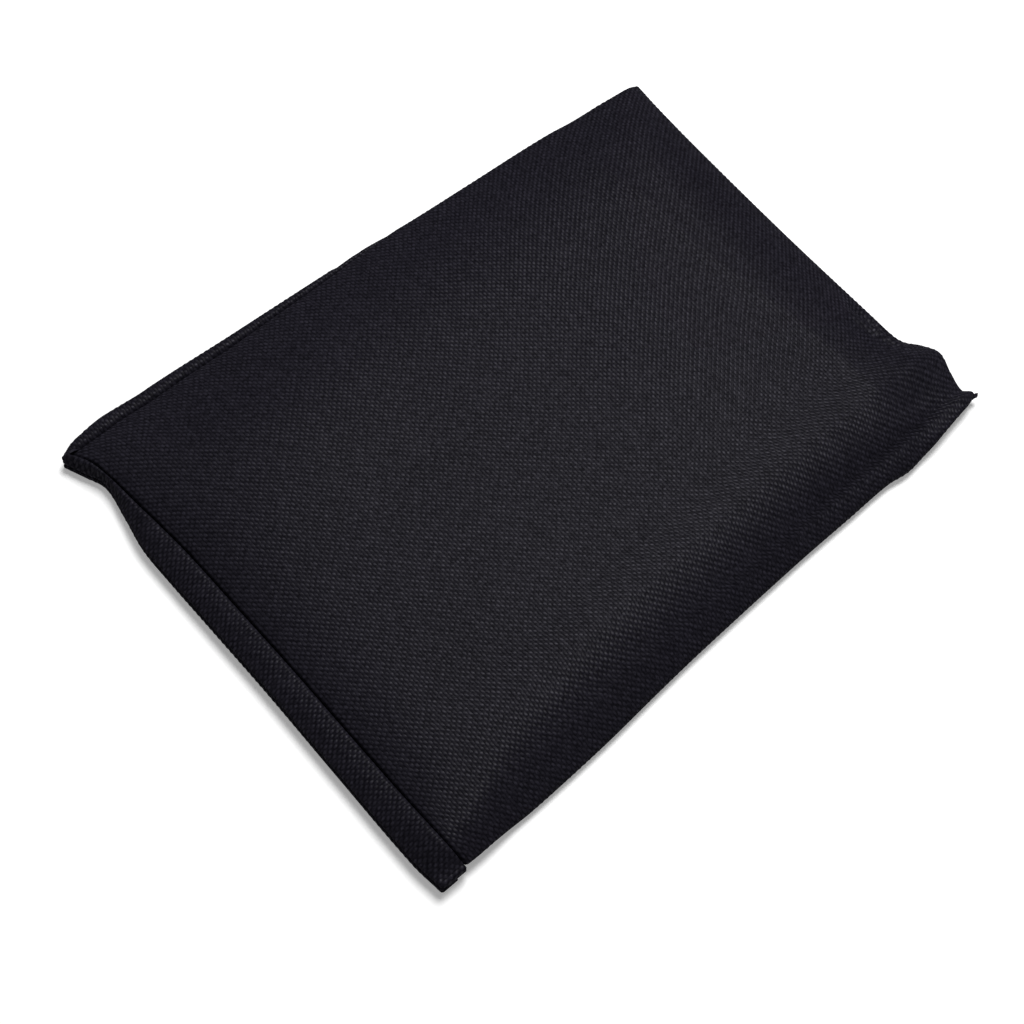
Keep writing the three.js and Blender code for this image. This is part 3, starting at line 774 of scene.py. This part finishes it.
# The top panel
def panel_grid(cloth):
    """Points of the panel's middle plane, their thread counts and their small bumps."""
    pitch = cloth.thread_pitch
    columns = across(right_seam(0.0) - left_seam(0.0), OPEN_SEAM, ROLLED_SEAM, pitch, 0.0, ROLL_FINE)
    rows = across(
        top_seam(0.0) - bottom_seam(0.0), ROLLED_SEAM, ROLLED_SEAM, pitch, ROLL_FINE, ROLL_FINE)
    shape = (len(columns), len(rows))

    def places(on_seam):
        x, y = np.zeros(shape), np.zeros(shape)
        for _ in range(PLACING_PASSES):
            low, high = left_seam(y), right_seam(y)
            for i, line in enumerate(columns):
                x[i] = across_place(line, low[i], high[i], OPEN_SEAM, ROLLED_SEAM, on_seam)
            low, high = bottom_seam(x), top_seam(x)
            for j, line in enumerate(rows):
                y[:, j] = across_place(line, low[:, j], high[:, j], ROLLED_SEAM, ROLLED_SEAM, on_seam)
        return x, y

    x, y = places(on_seam=False)
    inward = inward_normal(cloth_point, *places(on_seam=True), 1)
    grid = cloth_point(x, y) + inward * depths(columns, rows)[..., None]
    on_top = 1 - smooth(*WRINKLES_FADE, x - right_rim(y))
    bumps = wrinkles(x, y) * on_top + pucker(y, x - left_seam(y)) * (depths(columns, rows) == 0)
    return grid, thread_counts(columns, rows), bumps


# The walls
def wall_rows(pitch, spans):
    """Grid lines down a wall, from its turned-in seam edge to the end of its hem."""
    start = shoulder(OPEN_SEAM)
    threads = [(HEM_TOP - start) / pitch, (HEM_TOP + HEM_STEP - start) / pitch]
    at = 0
    for until, step in spans:
        end = int((until - start) / pitch)
        threads.extend(np.arange(at, end, step))
        at = end
    threads = np.unique(threads + [at])
    return turned_lines(OPEN_SEAM, pitch) + [
        Line(0, start + thread * pitch, None, 0.0, thread, thread) for thread in threads]


def wall_sheet(name, surface, ends, spans, hand, cloth, hem_inset, end_drop):
    """A wall as a closed sheet, from its surface, its ends and the steps of its rows."""
    length = ends.high - ends.low
    columns = across(length, WALL_END, WALL_END, cloth.thread_pitch, 0.0, 0.0)
    rows = wall_rows(cloth.thread_pitch, spans)
    places = np.array([across_place(line, 0.0, length, WALL_END, WALL_END) for line in columns])
    edges = np.array([across_place(line, 0.0, length, WALL_END, WALL_END, True) for line in columns])
    row_places = column_of(rows, "away")
    row_edges = np.where(column_of(rows, "depth") > 0, 0, row_places)
    along, away = np.meshgrid(places, row_places, indexing="ij")
    inward = inward_normal(surface, *np.meshgrid(edges, row_edges, indexing="ij"), hand)
    depth = depths(columns, rows)
    last = column_of(columns, "depth")[:, None] == WALL_END.bend + WALL_END.turn_in
    on_strip = (row_places > 0) & (row_places < END_DROP_REACH)
    hanging = depth + end_drop * last * on_strip[None, :]
    grid = surface(along, away) + inward * hanging[..., None]
    threads = thread_counts(columns, rows)
    from_end = np.minimum(along, length - along)
    hem = np.where((away > HEM_TOP) & (from_end > hem_inset), HEM_TURN_THICKNESS, 0.0)
    bumps = pucker(along, away) * (depth == 0) * smooth(*PUCKER_HEIGHTS, grid[..., 2])
    if hand < 0:
        grid, threads, hem, bumps = grid[::-1], threads[::-1], hem[::-1], bumps[::-1]
    return sheet_mesh(name, grid, threads, cloth, hem, bumps)


def long_wall_surface(ends, seam, hand):
    """A long wall: folded in under the panel, over the ends of the short walls."""
    length = ends.high - ends.low

    def surface(along, away):
        top = ends.low + along
        under = LEFT_CORNER_SEAM + (RIGHT_CORNER_SEAM - LEFT_CORNER_SEAM) * along / length
        x = top + (under - top) * smooth(*CORNER_SHEAR, away)
        return cloth_point(x, seam(top) + hand * away)

    return surface


def mitred(point, corner_x, ends, inward):
    """Cloth lying on the surface, folded back over itself across a corner at 45 degrees."""
    x, y, z = point[..., 0], point[..., 1], point[..., 2]
    side = np.sign(y - (ends.low + ends.high) / 2)
    corner_y = np.where(side > 0, ends.high, ends.low)
    past_corner = ((corner_y - y) * side - (x - corner_x) * inward) / math.sqrt(2)
    half = math.pi * MITRE_BEND / 2
    past = half - past_corner
    turn = np.clip(past / MITRE_BEND, 0, math.pi)
    straight = np.maximum(past - math.pi * MITRE_BEND, 0)
    now = half - MITRE_BEND * np.sin(turn) + straight
    shift = (past_corner - now) / math.sqrt(2)
    folded = np.stack([
        x + shift * inward,
        y + shift * side,
        FLOOR_LAYER + MITRE_BEND * (1 - np.cos(turn)),
    ], axis=-1)
    folds = (z < ON_SURFACE) & ((x - corner_x) * inward > 0) & (past_corner < half)
    return np.where(folds[..., None], folded, point)


def follow(moves, x, z, length):
    """Where a length of cloth ends in section when it follows moves, one after another."""
    for move in moves:
        step = np.clip(length, 0, move.length)
        if move.bend is None:
            x = x + move.heading * step
        else:
            turn = move.start + step / move.bend
            x = x + move.heading * move.bend * (np.sin(turn) - math.sin(move.start))
            z = z - move.bend * (math.cos(move.start) - np.cos(turn))
        length = length - step
    return x, z


def left_wall_section(y, away):
    """The left wall: slanting strip, fold, tuck, lower fold, then in along the surface."""
    seam_x = left_seam(y)
    edge = left_edge(y)
    strip_height = panel_height(seam_x, y) + SEAM_RIM_RISE
    outer = STRIP_OUTER_HEIGHTS[0] + np.diff(STRIP_OUTER_HEIGHTS) * smooth(*STRIP_LOWERS, y)
    strip_drop = np.maximum(strip_height - outer, STRIP_LEAST_DROP)
    outer_height = strip_height - strip_drop
    upper_reach = LEFT_UPPER_BEND * (1 - math.sin(STRIP_SLANT))
    upper_drop = LEFT_UPPER_BEND * (1 + math.cos(STRIP_SLANT))
    upper_x = edge + LEFT_UPPER_SET_BACK + CLOTH_HALF + upper_reach
    lower_x = edge + CLOTH_HALF + LEFT_LOWER_BEND
    fold_end_x = upper_x + LEFT_UPPER_BEND * math.sin(STRIP_SLANT)
    tuck_x = fold_end_x + LEFT_TUCK_DEPTH
    tuck_bend = (outer_height - upper_drop - FLOOR_LAYER) / 2 - LEFT_LOWER_BEND
    strip = seam_x - upper_x
    share = np.minimum(away / strip, 1)
    slant = strip_drop * np.maximum(share, 0) ** STRIP_CURVE
    moves = (
        Move(-1, strip, None, 0.0),
        Move(-1, (math.pi - STRIP_SLANT) * LEFT_UPPER_BEND, LEFT_UPPER_BEND, STRIP_SLANT),
        Move(1, LEFT_TUCK_DEPTH, None, 0.0),
        Move(1, math.pi * tuck_bend, tuck_bend, 0.0),
        Move(-1, tuck_x - lower_x, None, 0.0),
        Move(-1, math.pi * LEFT_LOWER_BEND, LEFT_LOWER_BEND, 0.0),
        Move(1, WALL_HEIGHT, None, 0.0),
    )
    x, z = follow(moves, seam_x, strip_height - slant, away)
    return np.stack([x - np.minimum(away, 0), y, z], axis=-1)


def left_wall_surface(along, away):
    """The left wall with its mitred corners."""
    y = LEFT_WALL_ENDS.low + along
    return mitred(left_wall_section(y, away), LEFT_CORNER_SEAM, LEFT_WALL_ENDS, 1)


def right_wall_surface(along, away):
    """The right wall: out of the seam under the panel's roll, straightening inwards."""
    y = RIGHT_WALL_ENDS.low + along
    point = cloth_point(right_seam(y) + away, y)
    straightened = smooth(*RIGHT_WALL_STRAIGHTENS, away)
    point[..., 0] += (RIGHT_WALL_LINE - right_rim(y)) * straightened
    point[..., 1] = y
    return mitred(point, RIGHT_CORNER_SEAM, RIGHT_WALL_ENDS, -1)


# Materials
def feed(tree, socket, value):
    """Links a socket to its source, or sets it to a value."""
    if isinstance(value, bpy.types.NodeSocket):
        tree.links.new(value, socket)
    else:
        socket.default_value = value


def add_node(tree, kind, inputs=(), **settings):
    """Adds a node with its settings, and with a source or a value for each named input."""
    node = tree.nodes.new(kind)
    for name, value in settings.items():
        setattr(node, name, value)
    for name, value in dict(inputs).items():
        feed(tree, node.inputs[name], value)
    return node


def math_node(tree, operation, *values, kind="ShaderNodeMath"):
    """The result of a Math node with values or sources as its inputs."""
    node = add_node(tree, kind, operation=operation)
    for socket, value in zip(node.inputs, values):
        feed(tree, socket, value)
    return node.outputs[0]


def vector_node(tree, operation, *values):
    """The result of a Vector Math node."""
    return math_node(tree, operation, *values, kind="ShaderNodeVectorMath")


def scaled(tree, vector, amount):
    """A vector or a colour times a number."""
    node = add_node(tree, "ShaderNodeVectorMath", {"Vector": vector, "Scale": amount}, operation="SCALE")
    return node.outputs[0]


def product(tree, first, *others):
    """Several numbers multiplied together."""
    for other in others:
        first = math_node(tree, "MULTIPLY", first, other)
    return first


def around_one(tree, value, middle, amount):
    """A shade that goes to both sides of 1 as a value goes to both sides of its middle."""
    return math_node(tree, "MULTIPLY_ADD", math_node(tree, "SUBTRACT", value, middle), amount, 1.0)


def noise_node(tree, vector, scale, detail):
    """A noise texture read at a vector."""
    return add_node(tree, "ShaderNodeTexNoise", {"Vector": vector, "Scale": scale, "Detail": detail})


def new_group(name, vector, numbers, results):
    """A new shader node group, with the sockets that it is given and those of its results."""
    group = bpy.data.node_groups.new(name, "ShaderNodeTree")
    group.interface.new_socket(vector, in_out="INPUT", socket_type="NodeSocketVector")
    for number, value in numbers.items():
        socket = group.interface.new_socket(number, in_out="INPUT", socket_type="NodeSocketFloat")
        socket.default_value = value
    for result in results:
        group.interface.new_socket(result, in_out="OUTPUT", socket_type="NodeSocketFloat")
    return group, group.nodes.new("NodeGroupInput").outputs, group.nodes.new("NodeGroupOutput").inputs


def wandered(group, threads, amount):
    """Thread counts that wander a little to either side."""
    drift = noise_node(group, threads, WANDER_SCALE, WANDER_DETAIL)
    centred = vector_node(group, "SUBTRACT", drift.outputs["Color"], (HALF, HALF, HALF))
    return vector_node(group, "ADD", scaled(group, centred, amount), threads)


def crown_slant(group, u, v):
    """How far the crowns of a thread slant from square across it."""
    by_column = math_node(group, "MULTIPLY_ADD", u, *SLANT_BY_COLUMN)
    by_row = math_node(group, "MULTIPLY_ADD", v, *SLANT_BY_ROW)
    slant = math_node(group, "MAXIMUM", by_column, by_row)
    return math_node(group, "MAXIMUM", math_node(group, "MINIMUM", slant, MOST_SLANT), LEAST_SLANT)


def thread_height(group, place, along, slant, thread):
    """Height of one set of threads, rounded across and rising in crowns along."""
    across_thread = math_node(group, "COSINE", product(group, place, math.pi))
    rounded = math_node(group, "POWER", math_node(group, "ABSOLUTE", across_thread), THREAD_ROUNDNESS)
    from_middle = math_node(group, "SUBTRACT", place, math_node(group, "ROUND", place))
    slanted = math_node(group, "MULTIPLY_ADD", from_middle, slant, along)
    wave = math_node(group, "COSINE", product(group, slanted, math.pi))
    crowns = product(group, math_node(group, "SIGN", across_thread), wave)
    return math_node(group, "MULTIPLY_ADD", crowns, thread.crowns, product(group, rounded, thread.round))


def fibres(group, threads, warp_up):
    """Fine fibres that run along whichever thread is uppermost."""
    along_weft, along_warp = [
        noise_node(group, vector_node(group, "MULTIPLY", threads, stretch), 1.0, FIBRE_DETAIL).outputs["Fac"]
        for stretch in (WEFT_FIBRES, WARP_FIBRES)]
    either = add_node(group, "ShaderNodeMix", {"Factor": warp_up, "A": along_weft, "B": along_warp})
    return either.outputs["Result"]


def thread_shade(group, u, v, amount):
    """Makes every thread a little lighter or darker than its neighbours."""
    shades = []
    for count in (u, v):
        whole = math_node(group, "ROUND", count)
        noise = add_node(group, "ShaderNodeTexWhiteNoise", {"W": whole}, noise_dimensions="1D")
        shades.append(noise.outputs["Value"])
    return around_one(group, math_node(group, "ADD", *shades), 1.0, amount)


def fleck_shade(group, threads, flecks, amount):
    """The same for every fleck, with so many of them to a thread."""
    shifted = vector_node(group, "MULTIPLY_ADD", threads, (flecks, flecks, flecks), (HALF, HALF, HALF))
    whole = vector_node(group, "FLOOR", shifted)
    noise = add_node(group, "ShaderNodeTexWhiteNoise", {"Vector": whole}, noise_dimensions="3D")
    return around_one(group, noise.outputs["Value"], HALF, amount)


def weave_group():
    """Plain weave: height, crown mask and uneven shade of the threads, from thread counts."""
    group, given, results = new_group(
        "Oxford Weave", "Threads", WEAVE_NUMBERS, ("Height", "Crown", "Shade"))
    threads = given["Threads"]
    split = add_node(group, "ShaderNodeSeparateXYZ", {"Vector": wandered(group, threads, given["Wander"])})
    u, v = split.outputs["X"], split.outputs["Y"]
    slant = crown_slant(group, u, v)
    warp = thread_height(group, u, v, slant, WARP)
    weft = thread_height(group, v, u, slant, WEFT)
    uppermost = math_node(group, "MAXIMUM", warp, weft)
    warp_up = math_node(group, "GREATER_THAN", warp, weft)
    rough = product(group, fibres(group, threads, warp_up), given["Fibre Depth"])
    feed(group, results["Height"], math_node(group, "ADD", uppermost, rough))
    feed(group, results["Crown"], math_node(group, "MULTIPLY_ADD", uppermost, CROWN_GAIN, CROWN_LEAST))
    feed(group, results["Shade"], product(
        group,
        thread_shade(group, u, v, given["Unevenness"]),
        fleck_shade(group, threads, 1.0, given["Crossing Unevenness"]),
        fleck_shade(group, threads, FLECKS_TO_A_THREAD, given["Flecks"]),
    ))


def mottle_group():
    """Broad soft unevenness of a dark cloth, from object coordinates."""
    group, given, results = new_group("Cloth Mottle", "Vector", MOTTLE_NUMBERS, ("Shade",))
    noise = noise_node(group, given["Vector"], given["Scale"], MOTTLE_DETAIL)
    feed(group, results["Shade"], around_one(group, noise.outputs["Fac"], HALF, given["Depth"]))


def new_material(name, roughness):
    """A new material, with its node tree, its shader's inputs and its mottle."""
    material = bpy.data.materials.new(name)
    material.use_nodes = True
    tree = material.node_tree
    surface = tree.nodes["Principled BSDF"].inputs
    surface["Roughness"].default_value = roughness
    place = tree.nodes.new("ShaderNodeTexCoord").outputs["Object"]
    group = bpy.data.node_groups["Cloth Mottle"]
    mottle = add_node(tree, "ShaderNodeGroup", node_tree=group, inputs={"Vector": place})
    return material, tree, surface, mottle


def cloth_material(look):
    """Black oxford cloth, whose coat gives the threads' crowns their soft highlights."""
    material, tree, surface, mottle = new_material("Black Oxford Cloth", look.roughness)
    counts = add_node(tree, "ShaderNodeUVMap", uv_map="Threads").outputs["UV"]
    group = bpy.data.node_groups["Oxford Weave"]
    weave = add_node(tree, "ShaderNodeGroup", node_tree=group, inputs={"Threads": counts})
    crown, shade = weave.outputs["Crown"], weave.outputs["Shade"]
    turned_away = tree.nodes.new("ShaderNodeLayerWeight").outputs["Facing"]
    facing = math_node(tree, "SUBTRACT", 1.0, turned_away)
    faded = math_node(tree, "MAXIMUM", math_node(tree, "POWER", facing, look.edge_fade), look.edge_least)
    # Colour: random tone by thread, fleck and mottle, with painted shade in the gaps between the crowns
    tone_and_painted_gap_shade = product(tree, math_node(tree, "ADD", crown, PAINTED_GAP_LIGHT), shade, mottle.outputs["Shade"])
    bump = add_node(tree, "ShaderNodeBump", {
        "Strength": 1.0, "Distance": look.bump_depth * MM, "Height": weave.outputs["Height"]})
    values = {
        "Base Color": scaled(tree, look.cloth_colour, tone_and_painted_gap_shade),
        "Normal": bump.outputs["Normal"],
        "Specular IOR Level": 0.0,
        "Coat Weight": product(tree, crown, look.gloss, shade, faded),
        "Coat Roughness": look.roughness,
        "Coat Normal": bump.outputs["Normal"],
    }
    for name, value in values.items():
        feed(tree, surface[name], value)


def plain_material(name, colour, finish):
    """A plain matt finish with a little unevenness."""
    material, tree, surface, mottle = new_material(name, finish.roughness)
    mottle.inputs["Depth"].default_value = finish.unevenness
    feed(tree, surface["Base Color"], scaled(tree, colour, mottle.outputs["Shade"]))
    return material


# Sewing
def stitch_tree():
    """Geometry nodes that lay flattened stitches along a path, end to end."""
    tree = bpy.data.node_groups.new("Stitch Row", "GeometryNodeTree")
    tree.interface.new_socket("Path", in_out="INPUT", socket_type="NodeSocketGeometry")
    for name in ("Pitch", "Length", "Width", "Height"):
        tree.interface.new_socket(name, in_out="INPUT", socket_type="NodeSocketFloat")
    tree.interface.new_socket("Thread", in_out="INPUT", socket_type="NodeSocketMaterial")
    tree.interface.new_socket("Stitches", in_out="OUTPUT", socket_type="NodeSocketGeometry")
    given = tree.nodes.new("NodeGroupInput").outputs
    curve = add_node(tree, "GeometryNodeMeshToCurve", {"Mesh": given["Path"]})
    places = add_node(tree, "GeometryNodeResampleCurve", {
        "Curve": curve.outputs["Curve"], "Length": given["Pitch"]}, mode="LENGTH")
    ball = add_node(tree, "GeometryNodeMeshIcoSphere", {
        "Radius": HALF, "Subdivisions": BALL_SUBDIVISIONS})
    size = add_node(tree, "ShaderNodeCombineXYZ", {
        "X": given["Length"], "Y": given["Width"], "Z": given["Height"]})
    stitch = add_node(tree, "GeometryNodeTransform", {
        "Geometry": ball.outputs["Mesh"], "Scale": size.outputs["Vector"]})
    tangent = tree.nodes.new("GeometryNodeInputTangent")
    turned = add_node(tree, "FunctionNodeAlignRotationToVector", {
        "Vector": tangent.outputs["Tangent"]}, axis="X")
    uneven = add_node(tree, "FunctionNodeRandomValue", {
        "Min": STITCH_LEAST, "Max": STITCH_MOST, "Seed": STITCH_SEED}, data_type="FLOAT_VECTOR")
    row = add_node(tree, "GeometryNodeInstanceOnPoints", {
        "Points": places.outputs["Curve"], "Instance": stitch.outputs["Geometry"],
        "Rotation": turned.outputs["Rotation"], "Scale": uneven.outputs["Value"]})
    real = add_node(tree, "GeometryNodeRealizeInstances", {"Geometry": row.outputs["Instances"]})
    finished = add_node(tree, "GeometryNodeSetMaterial", {
        "Geometry": real.outputs["Geometry"], "Material": given["Thread"]})
    add_node(tree, "NodeGroupOutput", {"Stitches": finished.outputs["Geometry"]})


def hem_path(surface, ends, hand, hem_inset, cloth):
    """Points along a hem's stitching, on the outer face of its wall."""
    margin = hem_inset + STITCH_MARGIN
    length = ends.high - ends.low
    along = np.arange(margin, length - margin, cloth.thread_pitch)
    away = np.full_like(along, HEM_TOP + STITCH_INSET)
    outward = -inward_normal(surface, along, away, hand)
    return surface(along, away) + outward * (cloth.thickness / 2 - STITCH_SINK)


def stitch_row(name, points, sewing):
    """A row of stitches along a path, as a finished piece."""
    path = bpy.data.meshes.new(f"{name}_path")
    path.from_pydata((points * MM).tolist(), [(i, i + 1) for i in range(len(points) - 1)], [])
    row = bpy.data.objects.new(name, path)
    bpy.context.scene.collection.objects.link(row)
    tree = bpy.data.node_groups["Stitch Row"]
    values = {
        "Pitch": sewing.pitch, "Length": sewing.length, "Width": sewing.width, "Height": sewing.height,
        "Thread": bpy.data.materials["Black Sewing Thread"],
    }
    modifier = row.modifiers.new("Stitches", "NODES")
    modifier.node_group = tree
    for socket in tree.interface.items_tree:
        if socket.name in values:
            modifier[socket.identifier] = values[socket.name]
    ready = row.evaluated_get(bpy.context.evaluated_depsgraph_get())
    mesh = bpy.data.meshes.new_from_object(ready)
    mesh.shade_smooth()
    row.modifiers.remove(modifier)
    row.data = mesh
    bpy.data.meshes.remove(path)
    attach(row, BODY)
    return row


# Operators
class COVER_OT_camera(bpy.types.Operator):
    """Adds the camera at the photo's viewing angle"""

    bl_idname = "dust_cover.camera"
    bl_label = "Camera"

    def execute(self, context):
        data = bpy.data.cameras.new("Camera")
        data.sensor_width = SENSOR_WIDTH
        data.lens = FOCAL_PIXELS * SENSOR_WIDTH / FRAME_PIXELS
        camera = bpy.data.objects.new("Camera", data)
        camera.location = Vector(CAMERA_PLACE) * MM
        azimuth, elevation = math.radians(CAMERA_AZIMUTH), math.radians(CAMERA_ELEVATION)
        forward = Vector((
            math.sin(azimuth) * math.cos(elevation),
            math.cos(azimuth) * math.cos(elevation),
            -math.sin(elevation),
        ))
        camera.rotation_euler = forward.to_track_quat("-Z", "Y").to_euler()
        context.scene.collection.objects.link(camera)
        context.scene.camera = camera
        return {"FINISHED"}


class COVER_OT_materials(bpy.types.Operator):
    """Makes the node groups and the materials"""

    bl_idname = "dust_cover.materials"
    bl_label = "Materials"

    def execute(self, context):
        look = context.scene.dust_cover.look
        weave_group()
        mottle_group()
        cloth_material(look)
        plain_material("Black Sewing Thread", look.thread_colour, SEWING_FINISH)
        stitch_tree()
        return {"FINISHED"}


class COVER_OT_top_panel(bpy.types.Operator):
    """Builds the top panel, domed over the folded walls"""

    bl_idname = "dust_cover.top_panel"
    bl_label = "Top Panel"

    def execute(self, context):
        cloth = context.scene.dust_cover.cloth
        grid, threads, bumps = panel_grid(cloth)
        mesh = sheet_mesh("panel_cloth", grid, threads, cloth, bumps=bumps)
        piece = add_piece("panel_cloth", mesh, bpy.data.materials["Black Oxford Cloth"])
        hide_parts("top_panel")
        width = (right_seam(0.0) - left_seam(0.0)) * MM
        length = (top_seam(0.0) - bottom_seam(0.0)) * MM
        return {"FINISHED"}


def add_wall(side, surface, ends, spans, hand, hem_inset=0.0, end_drop=0.0):
    """Adds one wall as a sheet that replaces its solid."""
    cloth = bpy.context.scene.dust_cover.cloth
    mesh = wall_sheet(f"{side}_cloth", surface, ends, spans, hand, cloth, hem_inset, end_drop)
    piece = add_piece(f"{side}_cloth", mesh, bpy.data.materials["Black Oxford Cloth"])
    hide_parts(f"{side}_wall")
    path = hem_path(surface, ends, hand, hem_inset, cloth)
    stitches = stitch_row(f"{side}_stitches", path, bpy.context.scene.dust_cover.sewing)


class COVER_OT_long_walls(bpy.types.Operator):
    """Builds the two long walls, folded in under the panel"""

    bl_idname = "dust_cover.long_walls"
    bl_label = "Long Walls"

    def execute(self, context):
        back = long_wall_surface(TOP_WALL_ENDS, top_seam, 1)
        front = long_wall_surface(BOTTOM_WALL_ENDS, bottom_seam, -1)
        add_wall("back", back, TOP_WALL_ENDS, LONG_WALL_SPANS, 1)
        add_wall("front", front, BOTTOM_WALL_ENDS, LONG_WALL_SPANS, -1)
        return {"FINISHED"}


class COVER_OT_short_walls(bpy.types.Operator):
    """Builds the two short walls, with their mitred corners, on the surface"""

    bl_idname = "dust_cover.short_walls"
    bl_label = "Short Walls"

    def execute(self, context):
        inset = HEM_TOP + MITRE_BEND * math.pi
        add_wall("left", left_wall_surface, LEFT_WALL_ENDS, LEFT_WALL_SPANS, 1, inset, END_DROP)
        add_wall("right", right_wall_surface, RIGHT_WALL_ENDS, RIGHT_WALL_SPANS, -1, inset)
        return {"FINISHED"}


def add_floor(stage):
    """Adds the plain pale floor, which glows a little so that shadows stay soft."""
    corners = [
        (-FLOOR_HALF, -FLOOR_HALF, 0),
        (FLOOR_HALF, -FLOOR_HALF, 0),
        (FLOOR_HALF, FLOOR_HALF, 0),
        (-FLOOR_HALF, FLOOR_HALF, 0),
    ]
    mesh = bpy.data.meshes.new("floor")
    mesh.from_pydata(corners, [], [(0, 1, 2, 3)])
    pale = plain_material("Pale Floor", stage.floor_colour, FLOOR_FINISH)
    shader = pale.node_tree.nodes["Principled BSDF"]
    shader.inputs["Emission Color"].default_value = WHITE
    shader.inputs["Emission Strength"].default_value = stage.floor_glow
    mesh.materials.append(pale)
    floor = bpy.data.objects.new("floor", mesh)
    bpy.context.scene.collection.objects.link(floor)


def add_surround(stage):
    """Adds the even light from all round."""
    world = bpy.data.worlds.new("Surround")
    world.use_nodes = True
    background = world.node_tree.nodes["Background"]
    background.inputs["Color"].default_value = WHITE
    background.inputs["Strength"].default_value = stage.surround
    bpy.context.scene.world = world


def add_key_light(stage):
    """Adds the large soft light overhead."""
    data = bpy.data.lights.new("Key Light", "AREA")
    data.shape = "SQUARE"
    data.size = stage.key_size
    data.energy = stage.key_power
    light = bpy.data.objects.new("Key Light", data)
    light.location = KEY_PLACE
    light.rotation_euler = (-light.location).to_track_quat("-Z", "Y").to_euler()
    bpy.context.scene.collection.objects.link(light)


class COVER_OT_stage(bpy.types.Operator):
    """Adds the plain pale floor and the soft light"""

    bl_idname = "dust_cover.stage"
    bl_label = "Stage"

    def execute(self, context):
        stage = context.scene.dust_cover.stage
        add_floor(stage)
        add_surround(stage)
        add_key_light(stage)
        context.scene.view_settings.view_transform = "Standard"
        return {"FINISHED"}


class COVER_PT_sidebar(bpy.types.Panel):
    """Lists the cover's settings and the buttons that build it"""

    bl_label = "Dust Cover"
    bl_idname = "COVER_PT_sidebar"
    bl_space_type = "VIEW_3D"
    bl_region_type = "UI"
    bl_category = "Dust Cover"

    def draw(self, context):
        settings = context.scene.dust_cover
        for group in (settings.cloth, settings.sewing, settings.look, settings.stage):
            box = self.layout.box()
            for name in group.__annotations__:
                box.prop(group, name)
        for operator in OPERATORS:
            self.layout.operator(operator.bl_idname)


OPERATORS = (
    COVER_OT_camera,
    COVER_OT_materials,
    COVER_OT_top_panel,
    COVER_OT_long_walls,
    COVER_OT_short_walls,
    COVER_OT_stage,
)
SETTINGS = (ClothSettings, SewingSettings, LookSettings, StageSettings, DustCoverSettings)
CLASSES = (*SETTINGS, *OPERATORS, COVER_PT_sidebar)


def register():
    """Adds the classes and the scene's settings."""
    for each in CLASSES:
        bpy.utils.register_class(each)
    bpy.types.Scene.dust_cover = PointerProperty(type=DustCoverSettings)


def unregister():
    """Removes the settings and the classes."""
    del bpy.types.Scene.dust_cover
    for each in reversed(CLASSES):
        bpy.utils.unregister_class(each)


def main():
    register()
    bpy.ops.dust_cover.camera()
    bpy.ops.dust_cover.materials()
    bpy.ops.dust_cover.top_panel()
    bpy.ops.dust_cover.long_walls()
    bpy.ops.dust_cover.short_walls()
    bpy.ops.dust_cover.stage()


if __name__ == "__main__":
    main()
